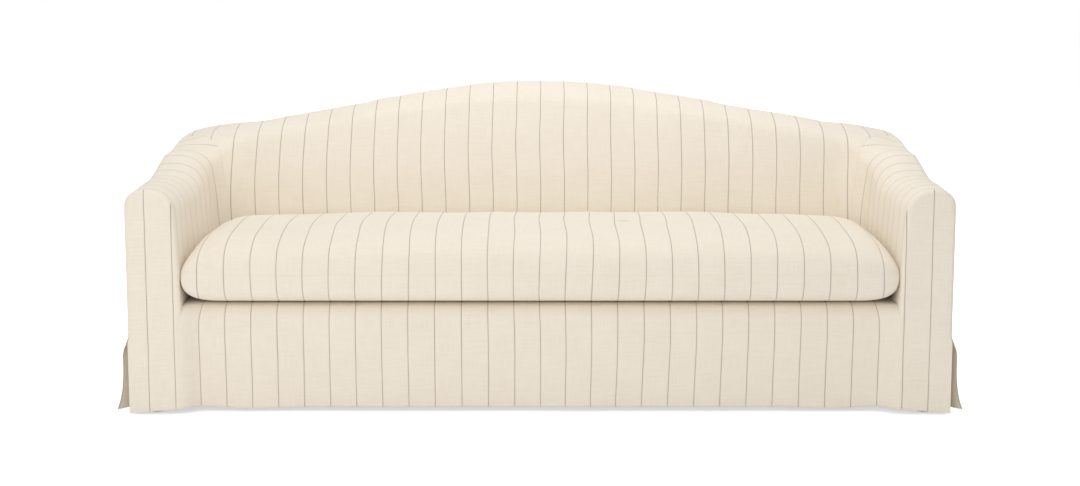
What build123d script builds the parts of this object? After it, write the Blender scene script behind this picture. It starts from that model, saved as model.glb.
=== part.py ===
from build123d import *
import math
import os

os.makedirs("parts", exist_ok=True)

# Outside of the slipcover. Lengths in mm, angles in degrees.
# Depths d run backward from the front of the arms, heights z up from the floor.
arm_span = 2235.0
depth = 990.0
back_peak = 839.0
camel_radius = 2050.0
camel_slope = 9.4
arm_front_height = 617.0
arm_back_height = 680.0
arm_rise_start = 180.0
arm_rise_end = 700.0
deck_height = 300.0
hem_height = 8.0
outer_corner_radius = 120.0

# Seat opening in plan
arm_base_width = 146.5
arm_taper = 12.0
seat_depth = 637.0
inner_corner_radius = 70.0
seam_angle = 54.0

# Cloth and the room under it
cloth = 3.0
ease_gap = 1.5
side_ease = 4.5
touch_gap = 0.3
rim_gap = 0.8

# Skirt and corner vents
skirt_recess = 30.0
skirt_bend_run = 55.0
skirt_bend_inset = 6.0
deck_roll_radius = 30.0
deck_strip_depth = 180.0
vent_depth = 110.0
vent_height = 200.0
vent_flare = 33.0
pleat_cloth = 1.8
pleat_width = 60.0

# Padding
arm_pad_thickness = 35.0
back_pad_thickness = 50.0
deck_pad_thickness = 25.0
insulator_thickness = 4.0
front_pad_thickness = 9.0
edge_roll_depth = 26.0
pad_side_gap = 2.5

# Rolled edges of the arm and back
arm_roll_core = 15.5
arm_end_roll_core = 35.5
back_roll_core = 5.5
straight_rise = 100.0
least_flat = 4.0

# Wood frame
rail_thickness = 32.0
rail_height = 120.0
stretcher_thickness = 25.0
stretcher_height = 80.0
stretcher_x = 330.0
post_block_width = 25.0
post_width = 56.0
post_depth = 45.0
side_panel_thickness = 18.0
outer_board_thickness = 4.0
arm_rail_width = 28.0
arm_rail_height = 50.0
arm_rail_drop = 9.0
rib_thickness = 18.0
rib_end_gap = 29.0
rib_count = 5
spring_rail_setback = 53.0
top_rail_thickness = 22.0
top_rail_height = 70.0
top_rail_share = 268 / 353
top_rail_short = 20.0
block_leg = 60.0
block_height = 45.0
dust_cover_thickness = 1.0

# Springs and webbing
spring_wire = 4.0
spring_count = 11
spring_end_gap = 135.0
spring_loops = 9
spring_half_width = 14.0
clip_plate = 1.7
clip_width = 16.0
clip_half_depth = 6.0
tie_wire = 3.0
tie_count = 2
web_count = 4
web_width = 45.0
web_thickness = 2.0
web_bottom = 440.0
web_pitch = 62.0

# Feet and fasteners
foot_top = 60.0
foot_bottom = 46.0
center_foot = 40.0
front_foot_inset = 62.5
front_foot_d = 46.0
rear_foot_inset = 69.5
rear_foot_setback = 102.0
back_post_size = 46.0
glide_radius = 14.0
glide_height = 4.0
bolt_radius = 4.0
bolt_in_foot = 40.0
bolt_in_wood = 28.0
bolt_clearance = 0.2
screw_radius = 2.2
screw_head_radius = 4.5
screw_head = 2.5
screw_length = 45.0

# Seat cushion
cushion_end_gap = 9.0
cushion_taper = 13.0
cushion_back_gap = 13.0
cushion_seam = 386.0
cushion_crown = 496.0
cushion_crown_sag = 14.0
cushion_end_round = 105.0
cushion_corner_pull = 42.0
cushion_cloth = 1.5
cushion_wrap = 18.0
cushion_play = 0.6
zip_end_gap = 200.0
zip_height = 26.0
zip_thickness = 1.2
slider_length = 14.0
slider_height = 10.0
slider_thickness = 3.5

# Heights and places that follow from the sizes above
half_span = arm_span / 2
arm_inner_front = half_span - arm_base_width
arm_inner_back = arm_inner_front - arm_taper
corner_x = arm_inner_back - inner_corner_radius
corner_d = seat_depth - inner_corner_radius
outer_corner_x = half_span - outer_corner_radius
outer_corner_d = depth - outer_corner_radius
cover_room = cloth + ease_gap
arm_pad_back = cover_room + arm_pad_thickness
back_pad_back = cover_room + back_pad_thickness
deck_pad_top = deck_height - cloth
deck_pad_bottom = deck_pad_top - deck_pad_thickness
insulator_bottom = deck_pad_bottom - insulator_thickness
pad_bottom = deck_pad_bottom + touch_gap
clip_top = insulator_bottom - touch_gap
spring_height = clip_top - clip_plate - touch_gap - spring_wire / 2
rail_top = spring_height - spring_wire / 2 - touch_gap - clip_plate
rail_bottom = rail_top - rail_height
front_rail_front = skirt_recess + cover_room + front_pad_thickness
front_rail_back = front_rail_front + rail_thickness
spring_rail_front = seat_depth + spring_rail_setback
spring_rail_back = spring_rail_front + rail_thickness
rear_face = depth - cloth - side_ease
rear_rail_back = rear_face - outer_board_thickness
rear_rail_front = rear_rail_back - rail_thickness
side_face = half_span - cloth - side_ease
panel_outer = side_face - outer_board_thickness
panel_inner = panel_outer - side_panel_thickness
post_inner = panel_inner - post_width
post_front = cloth + side_ease + front_pad_thickness
post_back = post_front + post_depth
side_rail_outer = panel_inner - back_post_size - post_block_width
side_rail_inner = side_rail_outer - rail_thickness
top_rail_front = seat_depth + (depth - seat_depth) * top_rail_share
top_rail_end = panel_inner - top_rail_short
rib_spacing = 2 * (corner_x - rib_end_gap) / (rib_count - 1)
spring_spacing = 2 * (side_rail_inner - spring_end_gap) / (spring_count - 1)
front_foot_x = half_span - front_foot_inset
rear_foot_x = half_span - rear_foot_inset
rear_foot_d = depth - rear_foot_setback
cushion_length = 2 * (arm_inner_back - cushion_end_gap)
cushion_depth = seat_depth - cushion_back_gap
zip_length = cushion_length - 2 * zip_end_gap
panel_back = outer_corner_d
rib_face = back_pad_back + web_thickness + 1.1


def mix(a, b, t):
    return a + (b - a) * t


def ease(t):
    t = min(1.0, max(0.0, t))
    return t * t * (3 - 2 * t)


def at(x, d, z):
    return (x, d - depth / 2, z)


def save(name, shape):
    export_step(shape, "parts/" + name + ".step")


def board(x0, x1, d0, d1, z0, z1):
    block = Box(x1 - x0, d1 - d0, z1 - z0)
    return Pos(*at((x0 + x1) / 2, (d0 + d1) / 2, (z0 + z1) / 2)) * block


def mirrored(shape):
    return mirror(shape, about=Plane.YZ)


def both(shape):
    return [shape, mirrored(shape)]


def camel_height(x):
    slope = math.radians(camel_slope)
    x = abs(x)
    bend = camel_radius * math.sin(slope)
    if x < bend:
        return back_peak - camel_radius + math.sqrt(camel_radius ** 2 - x ** 2)
    top = back_peak - camel_radius * (1 - math.cos(slope))
    return top - (x - bend) * math.tan(slope)


def arm_height(d):
    rise = ease((d - arm_rise_start) / (arm_rise_end - arm_rise_start))
    return mix(arm_front_height, arm_back_height, rise)


# Shape of the padded wall in cross-section at four places:
# lean of the inside face, its bend, the roll, the crown, the fall of the top and the outer edge
arm_front_shape = {
    "lean": 2.8, "bend": 1 / 8000, "roll": arm_roll_core + arm_pad_back, "roll_lean": 80.0,
    "crown": 150.0, "fall": 5.0, "edge": 27.0}
arm_end_shape = {
    "lean": 2.8, "bend": 1 / 8000, "roll": arm_end_roll_core + arm_pad_back, "roll_lean": 75.0,
    "crown": 110.0, "fall": 6.0, "edge": 32.0}
shoulder_shape = {
    "lean": 0.5, "bend": 1 / 600, "roll": back_roll_core + back_pad_back, "roll_lean": 70.0,
    "crown": 350.0, "fall": 4.0, "edge": 44.0}
peak_shape = {
    "lean": 0.5, "bend": 1 / 600, "roll": back_roll_core + back_pad_back, "roll_lean": 62.0,
    "crown": 290.0, "fall": 2.0, "edge": 40.0}


def blend(shape_a, shape_b, t):
    return {key: mix(shape_a[key], shape_b[key], t) for key in shape_a}


def station(origin, run, width, crest, shape):
    """One upright cut through the wall: tangent arcs from the inside face over the top.

    The wall starts at origin in plan and runs outward by width along run.
    Each arc is (center out, center up, radius, first angle, last angle), angles from upright.
    """
    lean = math.radians(shape["lean"])
    roll_lean = math.radians(shape["roll_lean"])
    fall = math.radians(shape["fall"])
    face = 1 / shape["bend"]
    roll = shape["roll"]
    edge = shape["edge"]
    crown = shape["crown"]
    foot_z = deck_height + straight_rise
    foot_w = straight_rise * math.tan(lean)
    for step in range(40):
        rise = crest - foot_z + face * math.sin(lean) - roll * math.sin(roll_lean)
        turn = math.asin((rise - crown * (1 - math.sin(roll_lean))) / (face - roll))
        roll_w = foot_w + face * (math.cos(lean) - math.cos(turn))
        crown_w = roll_w + roll * (math.cos(turn) - math.cos(roll_lean))
        room = width - least_flat - edge * (1 - math.sin(fall)) - crown_w
        crown = min(shape["crown"], room / (math.cos(roll_lean) + math.sin(fall)))
    face_w = foot_w + face * math.cos(lean)
    face_z = foot_z - face * math.sin(lean)
    roll_cw = face_w - (face - roll) * math.cos(turn)
    roll_cz = face_z + (face - roll) * math.sin(turn)
    crown_cw = roll_cw - (roll - crown) * math.cos(roll_lean)
    crown_cz = roll_cz + (roll - crown) * math.sin(roll_lean)
    over = math.pi / 2 + fall
    flat_w = width - edge + edge * math.sin(fall) - crown_cw + crown * math.cos(over)
    edge_cz = crown_cz + (crown - edge) * math.sin(over) - flat_w * math.tan(fall)
    arcs = [
        (face_w, face_z, face, lean, turn),
        (roll_cw, roll_cz, roll, turn, roll_lean),
        (crown_cw, crown_cz, crown, roll_lean, over),
        (width - edge, edge_cz, edge, over, math.pi)]
    return {"origin": origin, "run": run, "width": width, "arcs": arcs, "crest": crest}


def arc_point(arc, inset, angle):
    center_w, center_z, radius = arc[0], arc[1], arc[2] - inset
    return (center_w - radius * math.cos(angle), center_z + radius * math.sin(angle))


def wall_line(cut, inset, start_z, over_edge):
    """Lines and arcs of the wall's skin, set in by inset, from start_z over the top."""
    face, roll, crown, edge = cut["arcs"]
    first = arc_point(face, inset, face[3])
    start = (first[0] - (first[1] - start_z) * math.tan(face[3]), start_z)
    pieces = [(start, first)]
    for arc in (face, roll, crown):
        middle = (arc[3] + arc[4]) / 2
        pieces.append((arc_point(arc, inset, arc[3]), arc_point(arc, inset, middle),
                       arc_point(arc, inset, arc[4])))
    pieces.append((pieces[-1][2], arc_point(edge, inset, edge[3])))
    if over_edge:
        middle = (edge[3] + edge[4]) / 2
        pieces.append((pieces[-1][1], arc_point(edge, inset, middle),
                       arc_point(edge, inset, edge[4])))
    return pieces


def place(cut, point):
    x, d = cut["origin"]
    return at(x + point[0] * cut["run"][0], d + point[0] * cut["run"][1], point[1])


def edges_of(cut, pieces):
    edges = []
    for piece in pieces:
        spots = [place(cut, point) for point in piece]
        edges.append(Line(*spots) if len(spots) == 2 else ThreePointArc(*spots))
    return edges


def layer_wire(cut, outer, inner, start_z, over_edge):
    """Closed outline of a layer of the wall between two insets."""
    near = wall_line(cut, outer, start_z, over_edge)
    far = wall_line(cut, inner, start_z, over_edge)
    ends = [(near[-1][-1], far[-1][-1]), (far[0][0], near[0][0])]
    back = [tuple(reversed(piece)) for piece in reversed(far)]
    return Wire(edges_of(cut, near + ends[:1] + back + ends[1:]))


def outer_wire(cut, low):
    """Closed outline of the outer cloth, from low up to where the top rolls over."""
    edge = cut["arcs"][3]
    w = cut["width"]
    high = edge[1] - rim_gap
    corners = [(w, low), (w, high), (w - cloth, high), (w - cloth, low)]
    sides = [(corners[i], corners[(i + 1) % 4]) for i in range(4)]
    return Wire(edges_of(cut, sides))


def arm_cut(d):
    x = mix(arm_inner_front, arm_inner_back, d / corner_d)
    shape = blend(arm_front_shape, arm_end_shape, ease(d / corner_d))
    return station((x, d), (1, 0), half_span - x, arm_height(d), shape)


def corner_cut(angle):
    turn = math.radians(angle)
    run = (math.cos(turn), math.sin(turn))
    origin = (corner_x + inner_corner_radius * run[0], corner_d + inner_corner_radius * run[1])
    reach = outer_reach(run)
    t = ease(angle / 90)
    crest = mix(arm_height(corner_d), camel_height(corner_x), t)
    shape = blend(arm_end_shape, shoulder_shape, t)
    return station(origin, run, reach - inner_corner_radius, crest, shape)


def outer_reach(run):
    """Distance from the inner corner's center to the outer outline along run."""
    reach_x = (half_span - corner_x) / run[0] if run[0] > 1e-6 else 1e9
    if corner_d + reach_x * run[1] <= outer_corner_d:
        return reach_x
    reach_d = (depth - corner_d) / run[1]
    if corner_x + reach_d * run[0] <= outer_corner_x:
        return reach_d
    off_x = outer_corner_x - corner_x
    off_d = outer_corner_d - corner_d
    along = off_x * run[0] + off_d * run[1]
    aside = off_x ** 2 + off_d ** 2 - along ** 2
    return along + math.sqrt(outer_corner_radius ** 2 - aside)


def back_cut(x):
    shape = blend(peak_shape, shoulder_shape, ease(abs(x) / corner_x))
    return station((x, seat_depth), (0, 1), depth - seat_depth, camel_height(x), shape)


def flip(cut):
    other = dict(cut)
    other["origin"] = (-cut["origin"][0], cut["origin"][1])
    other["run"] = (-cut["run"][0], cut["run"][1])
    return other


def spread(first, last, count):
    return [mix(first, last, i / count) for i in range(count + 1)]


def arm_cuts(first):
    return [arm_cut(d) for d in spread(first, corner_d, 6)]


arm_corner_cuts = [corner_cut(angle) for angle in spread(0.0, seam_angle, 4)]
back_corner_cuts = [corner_cut(angle) for angle in spread(90.0, seam_angle, 5)]
back_cuts = [back_cut(x) for x in spread(-corner_x, corner_x, 12)]


# Slipcover: inside arms with their tops, and inside back
def layer(cuts, outer, inner, start_z, over_edge):
    return Solid.make_loft([layer_wire(cut, outer, inner, start_z, over_edge) for cut in cuts])


def arm_layer(first, *sizes):
    """Layer of the right-hand arm, from first back round the corner to the seam."""
    return layer(arm_cuts(first), *sizes) + layer(arm_corner_cuts, *sizes)


def back_layer(*sizes):
    """Layer of the back, from one corner seam to the other."""
    corner = layer(back_corner_cuts, *sizes)
    return layer(back_cuts, *sizes) + corner + mirrored(corner)


inside_arm = arm_layer(cloth, 0.0, cloth, deck_height, True)
save("slipcover_right_inside_arm", inside_arm)
save("slipcover_left_inside_arm", mirrored(inside_arm))
save("slipcover_inside_back", back_layer(0.0, cloth, deck_height, True))

# Slipcover: outside arms with the flared vent flap, and outside back
def flap_wire(height):
    """Plan outline of the flap: an arc that swings out toward the front."""
    share = (vent_height - height) / (vent_height - hem_height)
    swing = 0.8 + (vent_flare - 0.8) * share ** 1.5
    outlines = []
    for x in (half_span, half_span - cloth):
        outlines.append([at(x, vent_depth, height),
                         at(x + swing / 4, (vent_depth + cloth) / 2, height),
                         at(x + swing, cloth, height)])
    outer, inner = outlines
    return Wire([
        ThreePointArc(*outer), Line(outer[2], inner[2]),
        ThreePointArc(*reversed(inner)), Line(inner[0], outer[0])])


flap_heights = [mix(vent_height, hem_height, i / 4) for i in range(5)]
flap = Solid.make_loft([flap_wire(height) for height in flap_heights])
above_vent = Solid.make_loft([outer_wire(arm_cut(d), vent_height) for d in (cloth, vent_depth)])
rear_of_vent = Solid.make_loft([outer_wire(cut, hem_height) for cut in arm_cuts(vent_depth)])
arm_corner = Solid.make_loft([outer_wire(cut, hem_height) for cut in arm_corner_cuts])
outside_arm = rear_of_vent + arm_corner + above_vent + flap
save("slipcover_right_outside_arm", outside_arm)
save("slipcover_left_outside_arm", mirrored(outside_arm))
back_middle = Solid.make_loft([outer_wire(cut, hem_height) for cut in back_cuts])
back_corner = Solid.make_loft([outer_wire(cut, hem_height) for cut in back_corner_cuts])
save("slipcover_outside_back", back_middle + back_corner + mirrored(back_corner))

# Slipcover: front panel, that is both facings, the skirt between them and the strip over the deck edge
front_cut = arm_cut(0.0)
front_line = wall_line(front_cut, 0.0, deck_height, True)
bend_outer = arm_inner_front - skirt_bend_inset
bend_inner = bend_outer - skirt_bend_run
facing_edge = front_cut["width"]
facing_corners = [front_line[-1][-1], (facing_edge, hem_height), (-skirt_bend_inset, hem_height),
                  (-skirt_bend_inset, deck_height), front_line[0][0]]
facing_low = [(facing_corners[i], facing_corners[i + 1]) for i in range(4)]
facing_face = Face(Wire(edges_of(front_cut, front_line + facing_low)))
facing = extrude(facing_face, cloth, dir=(0, 1, 0))


def bend_edges(shift):
    """Plan S-curve from the facing's plane back to the skirt's plane."""
    half_x = skirt_bend_run / 2
    half_d = skirt_recess / 2
    radius = (half_x ** 2 + half_d ** 2) / (2 * half_d)
    angle = math.asin(half_x / radius) / 2
    dx = radius * math.sin(angle)
    dd = radius * (1 - math.cos(angle))
    first = [(bend_outer, 0.0), (bend_outer - dx, dd), (bend_outer - half_x, half_d)]
    last = [first[2], (bend_inner + dx, skirt_recess - dd), (bend_inner, skirt_recess)]
    arcs = []
    for points in (first, last):
        arcs.append([at(x, d + shift, hem_height) for x, d in points])
    return arcs


bend_front = bend_edges(0.0)
bend_back = bend_edges(cloth)
bend_wire = Wire(
    [ThreePointArc(*arc) for arc in bend_front]
    + [Line(bend_front[1][2], bend_back[1][2])]
    + [ThreePointArc(*arc) for arc in bend_back]
    + [Line(bend_back[0][0], bend_front[0][0])])
skirt_bend = extrude(Face(bend_wire), deck_height - hem_height, dir=(0, 0, 1))
roll_low = deck_height - deck_roll_radius
roll_back = skirt_recess + deck_roll_radius
diagonal = math.sqrt(0.5)


def skirt_line(inset):
    radius = deck_roll_radius - inset
    low = at(-bend_inner, skirt_recess + inset, hem_height)
    start = at(-bend_inner, skirt_recess + inset, roll_low)
    middle = at(-bend_inner, roll_back - radius * diagonal, roll_low + radius * diagonal)
    end = at(-bend_inner, roll_back, deck_height - inset)
    last = at(-bend_inner, deck_strip_depth, deck_height - inset)
    return low, start, middle, end, last


outer_skirt = skirt_line(0.0)
inner_skirt = skirt_line(cloth)
skirt_wire = Wire([
    Line(outer_skirt[0], outer_skirt[1]), ThreePointArc(*outer_skirt[1:4]),
    Line(outer_skirt[3], outer_skirt[4]), Line(outer_skirt[4], inner_skirt[4]),
    Line(inner_skirt[4], inner_skirt[3]), ThreePointArc(*reversed(inner_skirt[1:4])),
    Line(inner_skirt[1], inner_skirt[0]), Line(inner_skirt[0], outer_skirt[0])])
skirt = extrude(Face(skirt_wire), 2 * bend_inner, dir=(1, 0, 0))


def inner_x(d):
    return mix(arm_inner_front, arm_inner_back, d / corner_d) + cloth


def flat_plate(points, low, high):
    face = Face(Wire.make_polygon([at(x, d, low) for x, d in points], close=True))
    return extrude(face, high - low, dir=(0, 0, 1))


strip_low = deck_height - cloth
strip_bend = [[(x, y, strip_low) for x, y, z in arc] for arc in bend_edges(cloth / 2)]
strip_corners = [strip_bend[1][2], at(bend_inner, deck_strip_depth, strip_low),
                 at(inner_x(deck_strip_depth), deck_strip_depth, strip_low),
                 at(inner_x(0.0), cloth / 2, strip_low), strip_bend[0][0]]
strip_wire = Wire([ThreePointArc(*arc) for arc in strip_bend]
                  + [Line(strip_corners[i], strip_corners[i + 1]) for i in range(4)])
strip_end = extrude(Face(strip_wire), cloth, dir=(0, 0, 1))
front_panel = skirt
for side in both(facing + skirt_bend + strip_end):
    front_panel = front_panel + side
save("slipcover_front_panel", front_panel)


# Slipcover: deck behind the strip
def deck_plate(front, grow, low, high):
    """Plate that fills the seat opening in plan, grown past its outline by grow."""
    radius = inner_corner_radius + grow
    near = at(inner_x(front) - cloth + grow, front, low)
    side = at(arm_inner_back + grow, corner_d, low)
    bend = at(corner_x + radius * diagonal, corner_d + radius * diagonal, low)
    back = at(corner_x, seat_depth + grow, low)
    right = [near, side, bend, back]
    left = [(-x, y, z) for x, y, z in right]
    outline = Wire([
        Line(right[0], right[1]), ThreePointArc(*right[1:4]), Line(right[3], left[3]),
        ThreePointArc(*reversed(left[1:4])), Line(left[1], left[0]), Line(left[0], right[0])])
    return extrude(Face(outline), high - low, dir=(0, 0, 1))


save("slipcover_deck", deck_plate(deck_strip_depth, cloth, deck_height - cloth, deck_height))

# Slipcover: pleat underlays behind the corner vents
pleat_side = half_span - cloth - touch_gap - pleat_cloth
pleat_high = vent_height + 20.0
pleat = board(pleat_side - pleat_width, pleat_side + pleat_cloth, cloth, cloth + pleat_cloth,
              hem_height, pleat_high)
pleat = pleat + board(pleat_side, pleat_side + pleat_cloth, cloth, vent_depth - 20.0,
                      hem_height, pleat_high)
save("slipcover_corner_pleats", Compound(children=both(pleat)))

# Padding on the arms, the back and the seat
arm_pad = arm_layer(post_front, cover_room, arm_pad_back, pad_bottom, False)
save("right_arm_pad", arm_pad)
save("left_arm_pad", mirrored(arm_pad))
save("back_pad", back_layer(cover_room, back_pad_back, pad_bottom, False))
roll_front = skirt_recess + cover_room
roll_end = roll_front + edge_roll_depth
deck_pad = deck_plate(roll_end, cover_room - pad_side_gap, deck_pad_bottom, deck_pad_top)
save("deck_pad", deck_pad)
insulator_edge = side_rail_outer - 6.0
insulator_back = spring_rail_front + 2 * clip_half_depth + 2.0
insulator = board(-insulator_edge, insulator_edge, roll_end, insulator_back,
                  insulator_bottom, deck_pad_bottom)
save("spring_insulator", insulator)
edge_roll_end = bend_inner - 4.0
edge_roll = board(-edge_roll_end, edge_roll_end, roll_front, roll_end, rail_top,
                  deck_height - cover_room)
nose = edge_roll.edges().filter_by(Axis.X).sort_by(lambda edge: edge.center().Y - edge.center().Z)[0]
save("front_edge_roll", fillet(nose, deck_roll_radius - cover_room))
front_felt = board(-edge_roll_end, edge_roll_end, roll_front, front_rail_front, rail_bottom, rail_top)
save("front_rail_pad", front_felt)
front_pad_face = Face(Wire(edges_of(
    front_cut,
    [((arm_base_width - 30.0, vent_height + 30.0), (arm_base_width - 30.0, arm_front_height - 60.0)),
     ((arm_base_width - 30.0, arm_front_height - 60.0), (48.0, arm_front_height - 60.0)),
     ((48.0, arm_front_height - 60.0), (48.0, vent_height + 30.0)),
     ((48.0, vent_height + 30.0), (arm_base_width - 30.0, vent_height + 30.0))])))
front_pad = Pos(0, post_front - front_pad_thickness, 0) * extrude(
    front_pad_face, front_pad_thickness, dir=(0, 1, 0))
save("arm_front_pads", Compound(children=both(front_pad)))

# Seat rails, stretchers and corner blocks
front_rail = board(-post_inner, post_inner, front_rail_front, front_rail_back, rail_bottom, rail_top)
spring_rail = board(-side_rail_inner, side_rail_inner, spring_rail_front, spring_rail_back,
                    rail_bottom, rail_top)
rear_rail_end = outer_corner_x - 4.0
rear_rail = board(-rear_rail_end, rear_rail_end, rear_rail_front, rear_rail_back, rail_bottom, rail_top)
side_rail = board(side_rail_inner, side_rail_outer, front_rail_back, rear_rail_front,
                  rail_bottom, rail_top)
stretcher = board(stretcher_x - stretcher_thickness / 2, stretcher_x + stretcher_thickness / 2,
                  front_rail_back, spring_rail_front, rail_bottom, rail_bottom + stretcher_height)
block_low = rail_bottom + 20.0


def corner_block(d_corner, d_leg):
    points = [(side_rail_inner, d_corner), (side_rail_inner, d_corner + d_leg),
              (side_rail_inner - block_leg, d_corner)]
    return flat_plate(points, block_low, block_low + block_height)


def screw(x, d, z, toward):
    """Screw whose head sits at the given point and whose shank runs along toward."""
    axis = Plane(origin=at(x, d, z), z_dir=toward)
    shank = axis * Pos(0, 0, screw_length / 2) * Cylinder(screw_radius, screw_length)
    head = axis * Pos(0, 0, -screw_head / 2) * Cylinder(screw_head_radius, screw_head)
    return shank + head


def screw_hole(x, d, z, toward):
    axis = Plane(origin=at(x, d, z), z_dir=toward)
    length = screw_length + 1.0
    return axis * Pos(0, 0, length / 2) * Cylinder(screw_radius + bolt_clearance, length)


# Screws join each stretcher, and each side rail, to the spring rail
screw_spots = []
for z in (rail_bottom + 20.0, rail_bottom + stretcher_height - 20.0):
    screw_spots.append((stretcher_x, spring_rail_back, z, (0, -1, 0)))
    screw_spots.append((side_rail_outer, spring_rail_front + rail_thickness / 2, z, (-1, 0, 0)))
for spot in screw_spots:
    hole = screw_hole(*spot)
    stretcher = stretcher - hole
    side_rail = side_rail - hole
    spring_rail = spring_rail - hole - mirrored(hole)
screws = [screw(*spot) for spot in screw_spots]
save("frame_screws", Compound(children=screws + [mirrored(piece) for piece in screws]))
save("spring_rail", spring_rail)
save("right_side_rail", side_rail)
save("left_side_rail", mirrored(side_rail))
front_block = corner_block(front_rail_back, block_leg)
rear_block = corner_block(rear_rail_front, -block_leg)
save("corner_blocks", Compound(children=both(front_block) + both(rear_block)))

# Arm frames: front post, side panel, top rail and outer board on each side
front_post = board(post_inner, panel_inner, post_front, post_back, rail_bottom,
                   arm_front_height - arm_pad_back - arm_rail_drop)
rise_middle = (arm_rise_start + arm_rise_end) / 2


def slope_plate(drop, low, x0, x1, d0, d1):
    """Upright plate along the arm whose upper edge follows the arm's top, drop below it."""
    stops = [d0, arm_rise_start, rise_middle, arm_rise_end, d1]
    top = [at(x0, d, arm_height(d) - drop) for d in stops]
    quarters = [(arm_rise_start + rise_middle) / 2, (rise_middle + arm_rise_end) / 2]
    bends = [at(x0, d, arm_height(d) - drop) for d in quarters]
    if low is None:
        floor = [(x, y, z - arm_rail_height) for x, y, z in top]
        lower_bends = [(x, y, z - arm_rail_height) for x, y, z in bends]
        lower = [Line(floor[4], floor[3]), ThreePointArc(floor[3], lower_bends[1], floor[2]),
                 ThreePointArc(floor[2], lower_bends[0], floor[1]), Line(floor[1], floor[0])]
    else:
        floor = [at(x0, d0, low), None, None, None, at(x0, d1, low)]
        lower = [Line(floor[4], floor[0])]
    outline = [Line(top[0], top[1]), ThreePointArc(top[1], bends[0], top[2]),
               ThreePointArc(top[2], bends[1], top[3]), Line(top[3], top[4]), Line(top[4], floor[4])]
    face = Face(Wire(outline + lower + [Line(floor[0], top[0])]))
    return extrude(face, x1 - x0, dir=(1, 0, 0))


arm_drop = arm_pad_back + arm_rail_drop
side_panel = slope_plate(arm_drop, rail_bottom, panel_inner, panel_outer, post_front, panel_back)
arm_rail = slope_plate(arm_drop, None, panel_inner - arm_rail_width, panel_inner, post_back, panel_back)
outer_board = slope_plate(arm_drop + 20.0, vent_height + 30.0, panel_outer, side_face,
                          post_front, panel_back)

# Back frame: posts, ribs cut to the back's lean, arched top rail and outer board
back_post = board(panel_inner - back_post_size, panel_inner, top_rail_front - back_post_size,
                  top_rail_front, rail_bottom, arm_back_height - arm_drop - arm_rail_height - 4.0)
post_block = board(side_rail_outer, panel_inner - back_post_size, top_rail_front - back_post_size,
                   top_rail_front, rail_bottom, rail_top)


def rib(x):
    cut = back_cut(x)
    face = cut["arcs"][0]
    inset = rib_face
    first = arc_point(face, inset, face[3])
    start = (first[0] - (first[1] - pad_bottom) * math.tan(face[3]), pad_bottom)
    heel_w = insulator_back + 2.0 - seat_depth
    top = cut["crest"] - back_pad_back - top_rail_height - 20.0
    last_angle = math.asin((top - face[1]) / (face[2] - inset))
    last = arc_point(face, inset, last_angle)
    middle = arc_point(face, inset, (face[3] + last_angle) / 2)
    notch = cut["crest"] - back_pad_back - top_rail_height - 18.0
    head = notch + top_rail_height - 4.0
    notch_w = top_rail_front - seat_depth
    rear_w = rear_rail_back - seat_depth
    outline = [
        (start, first), (first, middle, last), (last, (notch_w, head)), ((notch_w, head), (notch_w, notch)),
        ((notch_w, notch), (rear_w, notch)), ((rear_w, notch), (rear_w, rail_top)),
        ((rear_w, rail_top), (heel_w, rail_top)), ((heel_w, rail_top), (heel_w, pad_bottom)),
        ((heel_w, pad_bottom), start)]
    plate = Face(Wire(edges_of(cut, outline)))
    return Pos(-rib_thickness / 2, 0, 0) * extrude(plate, rib_thickness, dir=(1, 0, 0))


rib_places = [rib_spacing * (i - (rib_count - 1) / 2) for i in range(rib_count)]
save("back_ribs", Compound(children=[rib(x) for x in rib_places]))


def camel_points(drop, end, d):
    """Right half of the arched line, drop below the top of the back: top, bend and end."""
    slope = math.radians(camel_slope)
    radius = camel_radius - drop
    center = back_peak - camel_radius
    bend = (radius * math.sin(slope), center + radius * math.cos(slope))
    last = (end, bend[1] - (end - bend[0]) * math.tan(slope))
    return [at(0, d, center + radius), at(bend[0], d, bend[1]), at(last[0], d, last[1])]


def flipped(point):
    return (-point[0], point[1], point[2])


top_line = camel_points(back_pad_back + 6.0, top_rail_end, top_rail_front)
low_line = camel_points(back_pad_back + 6.0 + top_rail_height, top_rail_end, top_rail_front)
top_rail_wire = Wire([
    Line(flipped(top_line[2]), flipped(top_line[1])),
    ThreePointArc(flipped(top_line[1]), top_line[0], top_line[1]), Line(top_line[1], top_line[2]),
    Line(top_line[2], low_line[2]), Line(low_line[2], low_line[1]),
    ThreePointArc(low_line[1], low_line[0], flipped(low_line[1])),
    Line(flipped(low_line[1]), flipped(low_line[2])), Line(flipped(low_line[2]), flipped(top_line[2]))])
save("back_top_rail", extrude(Face(top_rail_wire), top_rail_thickness, dir=(0, 1, 0)))
board_line = camel_points(shoulder_shape["edge"] + 12.0, rear_rail_end, rear_rail_back)
board_low = at(rear_rail_end, rear_rail_back, rail_bottom)
back_board_wire = Wire([
    Line(flipped(board_line[2]), flipped(board_line[1])),
    ThreePointArc(flipped(board_line[1]), board_line[0], board_line[1]), Line(board_line[1], board_line[2]),
    Line(board_line[2], board_low), Line(board_low, flipped(board_low)),
    Line(flipped(board_low), flipped(board_line[2]))])
save("outer_back_board", extrude(Face(back_board_wire), outer_board_thickness, dir=(0, 1, 0)))
save("back_post_blocks", Compound(children=both(post_block)))

# Feet: tapered corner feet, centre feet under the stretchers, hanger bolts and glides
center_foot_d = (front_rail_back + spring_rail_front) / 2
foot_rows = [(front_foot_x, front_foot_d, foot_top, foot_bottom),
             (rear_foot_x, rear_foot_d, foot_top, foot_bottom),
             (stretcher_x, center_foot_d, center_foot, center_foot - 6.0)]


def foot_at(x, d, top, bottom):
    upper = Plane(origin=at(x, d, rail_bottom)) * Rectangle(top, top)
    lower = Plane(origin=at(x, d, glide_height)) * Rectangle(bottom, bottom)
    return loft([lower, upper])


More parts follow.
